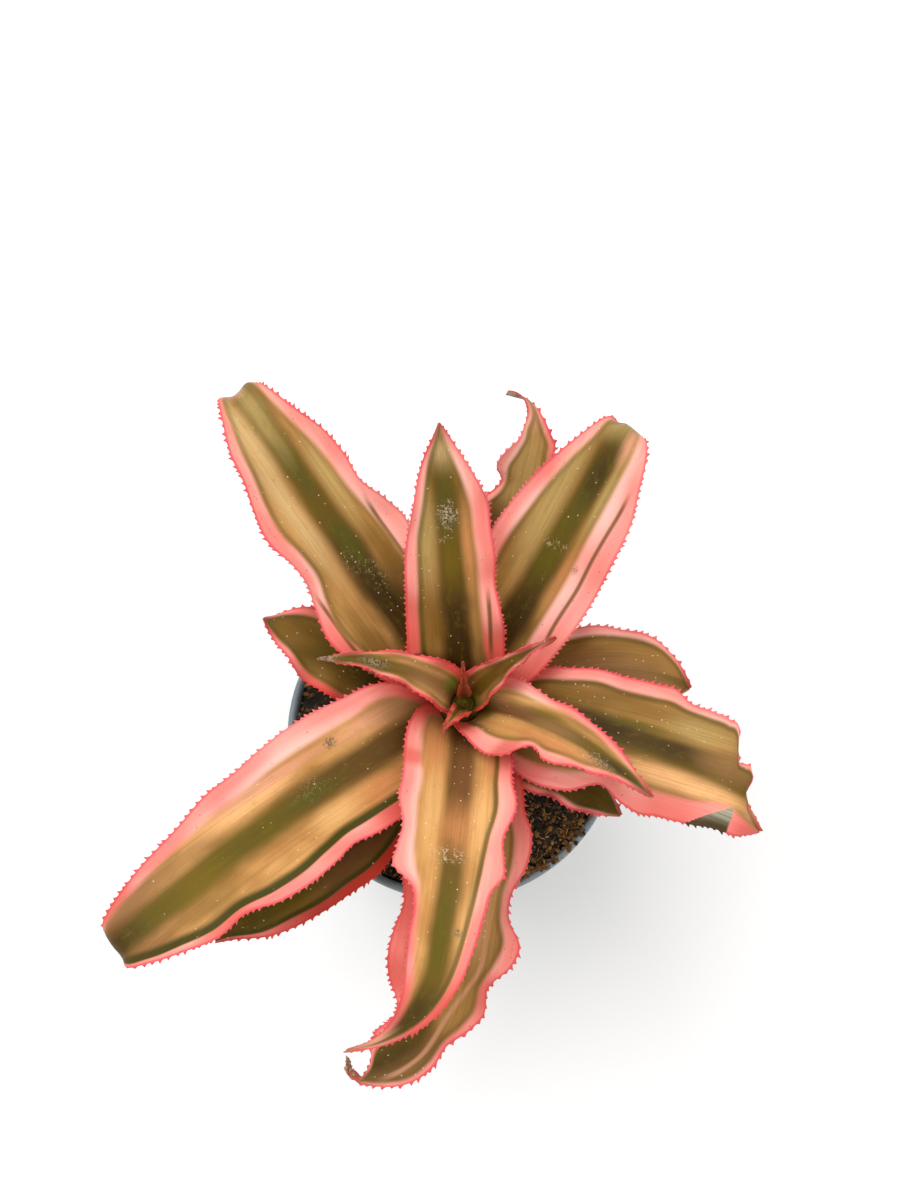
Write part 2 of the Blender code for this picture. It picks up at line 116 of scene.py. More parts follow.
def pot_profile():
    """The wall from the middle of the floor inside, up, over the lip and down to the base."""
    skirt = POT_HEIGHT - LIP_RADIUS - LIP_SKIRT
    stack = skirt - STACKING_DEPTH
    floor_edge = inner_radius(POT_FLOOR)
    stack_wall = inner_radius(stack) + POT_WALL
    steps = [(FLOOR_MIDDLE, POT_FLOOR), (FLOOR_RING, POT_FLOOR), (floor_edge - 0.0010, POT_FLOOR),
             (floor_edge, POT_FLOOR + 0.0008)]
    for part in range(1, 12):
        height = POT_FLOOR + (POT_HEIGHT - POT_FLOOR) * part / 12
        steps.append((inner_radius(height), height))
    for step in range(13):
        angle = math.pi * (1 - step / 12)
        steps.append((RIM_RADIUS - LIP_RADIUS + LIP_RADIUS * math.cos(angle),
                      POT_HEIGHT - LIP_RADIUS + LIP_RADIUS * math.sin(angle)))
    steps += [(RIM_RADIUS - 0.0001, skirt + 0.0004), (RIM_RADIUS - 0.0005, skirt),
              (inner_radius(skirt) + POT_WALL, skirt - 0.0001), (stack_wall, stack),
              (stack_wall - STACKING_STEP, stack - 0.0006)]
    for part in range(1, 9):
        height = 0.0016 + (stack - 0.0022) * (1 - part / 8)
        steps.append((inner_radius(height) + POT_WALL - STACKING_STEP * (1 - part / 8), height))
    return steps + [(BASE_RADIUS - 0.0003, 0.0006), (BASE_RADIUS - 0.0009, 0.0), (FLOOR_RING, 0.0),
                    (FLOOR_MIDDLE, 0.0)]


def select_only(body):
    """Make one object the only one selected, and the active one."""
    bpy.ops.object.select_all(action="DESELECT")
    body.select_set(True)
    bpy.context.view_layer.objects.active = body


def apply_modifiers(body):
    """Apply every modifier on the object."""
    select_only(body)
    for modifier in list(body.modifiers):
        bpy.ops.object.modifier_apply(modifier=modifier.name)


def drill(body, x, y, radius, depth):
    """Cut an upright round hole through the object's base."""
    drill_bit = primitive("drill_bit", bpy.ops.mesh.primitive_cylinder_add, vertices=24, radius=radius,
                          depth=depth, location=(x, y, 0))
    hole = body.modifiers.new("hole", "BOOLEAN")
    hole.operation = "DIFFERENCE"
    hole.object = drill_bit
    apply_modifiers(body)
    bpy.data.objects.remove(drill_bit, do_unlink=True)


class Nodes:
    """A material's node tree, with short calls that add a node, link it and give back its output."""

    def __init__(self, name):
        self.material = bpy.data.materials.new(name)
        self.material.use_nodes = True
        self.tree = self.material.node_tree
        self.shader = self.tree.nodes["Principled BSDF"]

    def add(self, kind, inputs=(), **settings):
        node = self.tree.nodes.new(kind)
        for key, value in settings.items():
            setattr(node, key, value)
        for key, value in dict(inputs).items():
            self.put(node.inputs[key], value)
        return node

    def put(self, socket, value):
        if isinstance(value, bpy.types.NodeSocket):
            self.tree.links.new(value, socket)
        else:
            socket.default_value = value

    def math(self, operation, first, second=0.0):
        return self.add("ShaderNodeMath", {0: first, 1: second}, operation=operation).outputs[0]

    def plus(self, first, second):
        return self.math("ADD", first, second)

    def minus(self, first, second):
        return self.math("SUBTRACT", first, second)

    def times(self, first, second):
        return self.math("MULTIPLY", first, second)

    def fade(self, value, start, end, low=0.0, high=1.0):
        """low before start, high after end, and a smooth step between them."""
        limits = {"Value": value, "From Min": start, "From Max": end, "To Min": low, "To Max": high}
        return self.add("ShaderNodeMapRange", limits, interpolation_type="SMOOTHSTEP").outputs[0]

    def fall(self, value, start, end, high=1.0):
        """high before start, 0 after end."""
        return self.fade(value, start, end, high, 0.0)

    def gap(self, first, second):
        """How far two values lie apart."""
        return self.math("ABSOLUTE", self.minus(first, second))

    def mix(self, share, first, second):
        node = self.add("ShaderNodeMix", data_type="RGBA")
        self.put(node.inputs[0], share)
        self.put(node.inputs[6], first)
        self.put(node.inputs[7], second)
        return node.outputs[2]

    def noise(self, place, scale, detail=3.0, roughness=0.5):
        inputs = {"Vector": place, "Scale": scale, "Detail": detail, "Roughness": roughness}
        return self.add("ShaderNodeTexNoise", inputs).outputs["Fac"]

    def attribute(self, name):
        return self.add("ShaderNodeAttribute", attribute_name=name).outputs["Fac"]

    def place(self, stretch=(1.0, 1.0, 1.0)):
        """Object coordinates, stretched by a factor each way."""
        where = self.add("ShaderNodeTexCoord").outputs["Object"]
        return self.add("ShaderNodeMapping", {"Vector": where, "Scale": stretch}).outputs[0]

    def height(self, place):
        return self.add("ShaderNodeSeparateXYZ", {0: place}).outputs["Z"]

    def finish(self, colour, roughness, relief=None, strength=0.0, distance=0.0):
        """Put colour and roughness on the shader, with a bump of this strength and depth."""
        self.put(self.shader.inputs["Base Color"], colour)
        self.put(self.shader.inputs["Roughness"], roughness)
        if relief is not None:
            bump = self.add("ShaderNodeBump", {"Height": relief, "Strength": strength, "Distance": distance})
            self.put(self.shader.inputs["Normal"], bump.outputs[0])
        return self.material


def pot_plastic():
    """Blue-grey plastic with a fine haze, faint rings from the mould and dusty soil marks at the lip."""
    skin = Nodes("pot_plastic")
    place = skin.place()
    haze = skin.noise(place, 900.0, 4.0, 0.6)
    cloud = skin.noise(place, 60.0, 3.0, 0.5)
    colour = skin.mix(skin.fade(cloud, 0.35, 0.7), srgb(108, 121, 127), srgb(130, 142, 146))
    colour = skin.mix(skin.fade(haze, 0.55, 0.75, 0.0, 0.35), colour, srgb(160, 167, 169))
    near_lip = skin.fade(skin.height(place), POT_HEIGHT - 0.0035, POT_HEIGHT - 0.0005, 0.0, 0.5)
    colour = skin.mix(skin.times(near_lip, skin.fade(cloud, 0.5, 0.7)), colour, srgb(92, 78, 62))
    rings = skin.noise(skin.place((1.0, 1.0, 90.0)), 30.0, 2.0, 0.5)
    relief = skin.plus(skin.times(haze, 0.4), skin.times(rings, 0.6))
    return skin.finish(colour, skin.fade(haze, 0.2, 0.8, 0.38, 0.55), relief, 0.15, 0.0002)


pot = round_shape("pot_wall", pot_profile(), 120)
for hole in range(DRAIN_HOLES):
    hole_angle = 2 * math.pi * hole / DRAIN_HOLES
    drill(pot, DRAIN_RING_RADIUS * math.cos(hole_angle), DRAIN_RING_RADIUS * math.sin(hole_angle),
          DRAIN_HOLE_RADIUS, 3 * POT_FLOOR)
pot.data.materials.append(pot_plastic())
select_only(pot)
bpy.ops.object.shade_smooth_by_angle(angle=math.radians(35))
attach(pot, "root")
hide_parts("nursery_pot")

# ---------------------------------------------------------------- Potting soil
# Damp dark peat pressed into the pot to just under its lip and heaped on one side where the plant was set in.
# Crumbs lie loose on it and on the lip, with gold-brown fibres of wood and a few pale grains of perlite.

SOIL_TOP = 0.0504
SOIL_HEAP = 0.0022
HEAP_X = 0.0115
HEAP_Y = -0.0135
HEAP_SPREAD = 0.0075
SOIL_GAP = 0.0003
SOIL_RINGS = 80
CRUMBS = 3000
HUSKS = 900
GRAINS = 80
FIBRES = 420
FIBRE_POINTS = 5
HEAP_SCATTER = 0.0070
DRY_BORDER = 0.0060
LIP_SPILL = 0.0026
LIP_EDGE = RIM_RADIUS - 0.0003
FIBRE_EDGE = RIM_RADIUS - 0.0005


def soil_height(x, y):
    """Level of the soil: flat, with the heap, and falling away to the wall."""
    away = (x - HEAP_X) ** 2 + (y - HEAP_Y) ** 2
    edge = min(1.0, max(0.0, (inner_radius(SOIL_TOP) - math.hypot(x, y)) / 0.0015))
    return SOIL_TOP + edge * SOIL_HEAP * math.exp(-away / (2 * HEAP_SPREAD ** 2))


def rough(point, size):
    """Fractal noise about zero, with lumps of this size."""
    return noise.fractal(Vector(point) / size, 0.9, 2.1, 4)


def peat():
    """Near-black damp peat, browner and drier in patches."""
    skin = Nodes("peat")
    place = skin.place()
    patches = skin.noise(place, 260.0, 4.0, 0.6)
    grain = skin.noise(place, 1500.0, 4.0, 0.65)
    colour = skin.mix(skin.fade(patches, 0.40, 0.68), srgb(18, 12, 7), srgb(52, 35, 16))
    colour = skin.mix(skin.fade(grain, 0.58, 0.75, 0.0, 0.6), colour, srgb(128, 92, 44))
    return skin.finish(colour, 0.95, grain, 0.8, 0.0005)


def loose_bits(name, dark, light):
    """Crumbs or fibres: each its own shade, with a rough grain."""
    skin = Nodes(name)
    grain = skin.noise(skin.place(), 2200.0, 3.0, 0.6)
    colour = skin.mix(skin.attribute("shade"), dark, light)
    colour = skin.mix(skin.times(grain, 0.45), colour, srgb(20, 15, 11))
    return skin.finish(colour, 0.9, grain, 0.6, 0.0002)


soil_rim = inner_radius(SOIL_TOP) - SOIL_GAP
soil_floor = POT_FLOOR + SOIL_GAP
soil_steps = [(inner_radius(soil_floor) - SOIL_GAP, soil_floor)]
soil_steps += [(soil_rim * (1 - ring / SOIL_RINGS), SOIL_TOP) for ring in range(SOIL_RINGS)]
soil = round_shape("soil_plug", soil_steps, 200)
for vertex in soil.data.vertices:
    if vertex.co.z > SOIL_TOP - 0.0001:
        inside = min(1.0, (soil_rim - math.hypot(vertex.co.x, vertex.co.y)) / 0.0010)
        lump = 0.00050 * rough(vertex.co, 0.0030) + 0.00028 * rough(vertex.co, 0.0009)
        vertex.co.z = soil_height(vertex.co.x, vertex.co.y) + inside * lump
soil.data.shade_smooth()
soil.data.materials.append(peat())
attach(soil, "root")
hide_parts("potting_soil")

luck = np.random.default_rng(11)


def crumb_spot():
    """A place on the soil, more often on the heap or near the wall, and now and then on the lip beside it."""
    if luck.random() < 0.4:
        x, y = luck.normal((HEAP_X, HEAP_Y), HEAP_SCATTER)
    else:
        by_wall = luck.random() < 0.5
        angle = luck.uniform(0, 2 * math.pi)
        if by_wall:
            reach = soil_rim - abs(luck.normal(0, 0.5 * DRY_BORDER))
        else:
            reach = math.sqrt(luck.uniform(0.05, 1.0)) * soil_rim
        x, y = reach * math.cos(angle), reach * math.sin(angle)
    reach = math.hypot(x, y)
    if reach > LIP_EDGE:
        share = (LIP_EDGE - luck.uniform(0, LIP_SPILL)) / reach
        x, y = x * share, y * share
    return x, y


def dryness(x, y):
    """0 in the damp middle, rising to 1 at the wall, where the peat has dried to brown."""
    return min(1.0, max(0.0, 1 - (soil_rim - math.hypot(x, y)) / DRY_BORDER))


def resting_height(x, y):
    """Height of what a crumb lies on: the soil, or the lip round it."""
    return POT_HEIGHT if math.hypot(x, y) > soil_rim - 0.0002 else soil_height(x, y)


def new_object(name, data):
    """An object in the scene that shows this mesh, curve, light or camera."""
    body = bpy.data.objects.new(name, data)
    bpy.context.scene.collection.objects.link(body)
    return body


def set_shades(mesh, shades):
    """Keep a shade of 0 to 1 at each point of the mesh."""
    mesh.attributes.new("shade", "FLOAT", "POINT").data.foreach_set("value", shades)


def scatter(name, count, smallest, largest, flatness, material):
    """Copies of one broken lump, each turned, sized and shaded by chance, joined as one piece."""
    lump = primitive("lump", bpy.ops.mesh.primitive_ico_sphere_add, subdivisions=1, radius=1.0)
    shape = [vertex.co.copy() for vertex in lump.data.vertices]
    faces = [tuple(polygon.vertices) for polygon in lump.data.polygons]
    bpy.data.objects.remove(lump, do_unlink=True)
    points, polygons, shades = [], [], []
    for _ in range(count):
        x, y = crumb_spot()
        size = luck.uniform(smallest, largest) * luck.uniform(0.5, 1.0)
        turn = luck.uniform(0, 2 * math.pi)
        stretch = luck.uniform(0.6, 1.5)
        seed = Vector(luck.uniform(-50, 50, 3))
        shade = luck.random() ** (3.0 - 2.2 * dryness(x, y))
        ground = resting_height(x, y) + 0.35 * size * flatness
        first = len(points)
        for corner in shape:
            bent = corner * (1 + 0.45 * noise.noise(corner * 1.3 + seed))
            along, across = bent.x * size * stretch, bent.y * size
            points.append((x + along * math.cos(turn) - across * math.sin(turn),
                           y + along * math.sin(turn) + across * math.cos(turn),
                           ground + bent.z * size * flatness))
            shades.append(shade)
        polygons.extend(tuple(first + corner for corner in face) for face in faces)
    mesh = bpy.data.meshes.new(name)
    mesh.from_pydata(points, [], polygons)
    set_shades(mesh, shades)
    mesh.materials.append(material)
    bits = new_object(name, mesh)
    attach(bits, "root")


crumb = loose_bits("crumbs", srgb(16, 11, 6), srgb(146, 100, 44))
scatter("soil_crumbs", CRUMBS, 0.0002, 0.0007, 0.8, crumb)
husk = loose_bits("husks", srgb(74, 50, 18), srgb(196, 150, 74))
scatter("soil_husks", HUSKS, 0.00015, 0.00045, 0.5, husk)
perlite = loose_bits("grains", srgb(176, 170, 96), srgb(238, 232, 214))
scatter("soil_grains", GRAINS, 0.00015, 0.0003, 0.8, perlite)


def make_fibres():
    """Short bent shreds of wood, lying flat on the soil."""
    strands = bpy.data.curves.new("soil_fibres", "CURVE")
    strands.dimensions = "3D"
    strands.bevel_depth = 0.00008
    strands.bevel_resolution = 1
    strands.use_fill_caps = True
    for _ in range(FIBRES):
        x, y = crumb_spot()
        turn = luck.uniform(0, 2 * math.pi)
        step_length = luck.uniform(0.0006, 0.0018) / FIBRE_POINTS
        strand = strands.splines.new("POLY")
        strand.points.add(FIBRE_POINTS - 1)
        for step, point in enumerate(strand.points):
            turn += luck.normal(0, 0.35)
            x += step_length * math.cos(turn)
            y += step_length * math.sin(turn)
            inside = min(1.0, FIBRE_EDGE / math.hypot(x, y))
            x, y = x * inside, y * inside
            lift = 0.0005 + 0.0004 * math.sin(math.pi * step / (FIBRE_POINTS - 1))
            point.co = (x, y, resting_height(x, y) + lift, 1.0)
            point.radius = 0.5 if step in (0, FIBRE_POINTS - 1) else 1.0
    select_only(new_object("soil_fibres", strands))
    bpy.ops.object.convert(target="MESH")
    fibres = bpy.context.object
    count = len(fibres.data.vertices)
    set_shades(fibres.data, np.repeat(luck.random(FIBRES), count // FIBRES + 1)[:count])
    fibres.data.materials.append(loose_bits("fibre", srgb(96, 66, 28), srgb(198, 150, 78)))
    fibres.data.shade_smooth()
    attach(fibres, "root")


make_fibres()

# ---------------------------------------------------------------- Stem
# The plant's short squat stem, ringed by the scars of its leaf bases, with its root end down in the soil.
# It grew as one piece; every leaf clasps it.

STEM_X = 0.002
STEM_Y = 0.003
CROWN_Z = 0.0665
LEVEL_DROP = 0.00085
LEVEL_RING = 0.00060
FIRST_RING = 0.0010
LOWEST_LEVEL = 16
STEM_INSET = 0.00075
ROOT_RADIUS = 0.0045
ROOT_END_Z = 0.034


def stem_steps():
    """(radius, height) from the crown down: one small scar ring for each leaf level, then the root end."""
    steps = []
    for part in range(LOWEST_LEVEL * 4 + 1):
        level = part / 4
        scar = 0.00012 * math.cos(2 * math.pi * level)
        steps.append((max(0.0002, FIRST_RING + LEVEL_RING * level - STEM_INSET + scar),
                      CROWN_Z - LEVEL_DROP * level))
    shoulder, shoulder_z = steps[-1]
    return steps + [(0.97 * shoulder, shoulder_z - 0.0010), (0.65 * shoulder, shoulder_z - 0.0035),
                    (ROOT_RADIUS, shoulder_z - 0.0075), (0.7 * ROOT_RADIUS, ROOT_END_Z)]


def stem_flesh():
    """Dull olive-brown flesh with papery dark scars, green at the growing crown."""
    skin = Nodes("stem_flesh")
    place = skin.place()
    cloud = skin.fade(skin.noise(place, 300.0, 4.0, 0.6), 0.35, 0.7)
    old = skin.mix(cloud, srgb(72, 62, 34), srgb(118, 92, 52))
    young = skin.mix(cloud, srgb(62, 48, 12), srgb(104, 96, 26))
    colour = skin.mix(skin.fade(skin.height(place), CROWN_Z - 0.0060, CROWN_Z - 0.0035), old, young)
    skin.shader.inputs["Specular IOR Level"].default_value = 0.1
    fissures = skin.noise(skin.place((1.0, 1.0, 5.0)), 700.0, 3.0, 0.6)
    return skin.finish(colour, 0.8, fissures, 0.5, 0.0003)


stem = round_shape("stem_core", stem_steps(), 64, (STEM_X, STEM_Y))
for vertex in stem.data.vertices:
    swell = 1 + 0.03 * rough(vertex.co, 0.0030)
    vertex.co.x = STEM_X + (vertex.co.x - STEM_X) * swell
    vertex.co.y = STEM_Y + (vertex.co.y - STEM_Y) * swell
stem.data.shade_smooth()
stem.data.materials.append(stem_flesh())
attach(stem, "root")
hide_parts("stem")

# ---------------------------------------------------------------- Leaves
# Seventeen stiff succulent blades in a spiral, oldest lowest. Each clasps the stem, bends out and ends in a
# point or a rolled-down tip. The middle is dark olive between tan bands; the wavy margin is pink and spiny.

SHEATH_HALF_ANGLE = 50.0
SHEATH_PITCH = 80.0
SHEATH_BEND = 0.0035
SHEATH_OPENING = 0.0050
LEAF_THICKNESS = 0.0009
TIP_HALF_WIDTH = 0.0002
MM = 0.001
ROW_LENGTH = 0.00017
COLUMNS = 22
COLUMN_CROWDING = 0.85
MARGIN_WAVES = 4.0
LEFT_WAVE_LAG = 100
WAVE_REACH = 2.5
FULL_THICKNESS_AT = 0.0040
EDGE_THICKNESS = 0.12
PATCH_STRENGTH = 0.75
TOOTH_HEIGHT = 0.00058
TOOTH_RISE = 0.62
TOOTH_FALL = 0.17
TOOTH_LEAN = 0.5
TOOTH_INWARD = -0.3
BLADE_SPECULAR = 0.14
LEAVES_APART = 31.0

# The leaves from the oldest to the spear, each one scar higher on the stem (level counts the scars from the
# crown). Angles are in degrees: turn is the compass direction, clasp the reach round the stem on the left
# and the right, rise, droop and curl shape the climb, sweep, hook and flick turn the leaf aside, and
# curl_at, hook_at and flick_at say from what share of its length. The rest is in millimetres along and
# across the leaf, positive left of the midrib. edges: (along, half-widths left and right, pink margins left
# and right). pushes: (across, outwards, spread) at a cut or rolled tip. tone: 0 dark to 1 pale. band: the
# dark middle's place at base and tip and its half-width. lines: strength of the green line inside each
# margin. red_to: how far each margin is red. stripes: (across, from, to). tints: (kind, side, along,
# reach). patches: (colour, along, across, half-length, half-width), and for scuffs a strength. streak:
# from, to, where it starts and ends its step aside, half-width. turned: from, to, depth of the fold.
PLAIN_LEAF = {
    "clasp": (SHEATH_HALF_ANGLE, SHEATH_HALF_ANGLE), "droop": 0, "droop_power": 1.5, "bend": SHEATH_BEND,
    "sweep": 0, "hook": 0, "hook_at": 0.7, "flick": 0, "flick_at": 0.9, "curl": 0, "curl_at": 0.82,
    "twist": 0, "ruffle": 0.0008, "teeth": 1, "pushes": (), "tone": 0.5, "flush": 0, "band": (0, 0, 2.8),
    "lines": (0.4, 0.4), "line_width": 1, "red_to": (15, 15), "turned": None, "dry_tip": 0, "streak": None,
    "stripes": (), "tints": (), "patches": (), "scuffs": (),
}

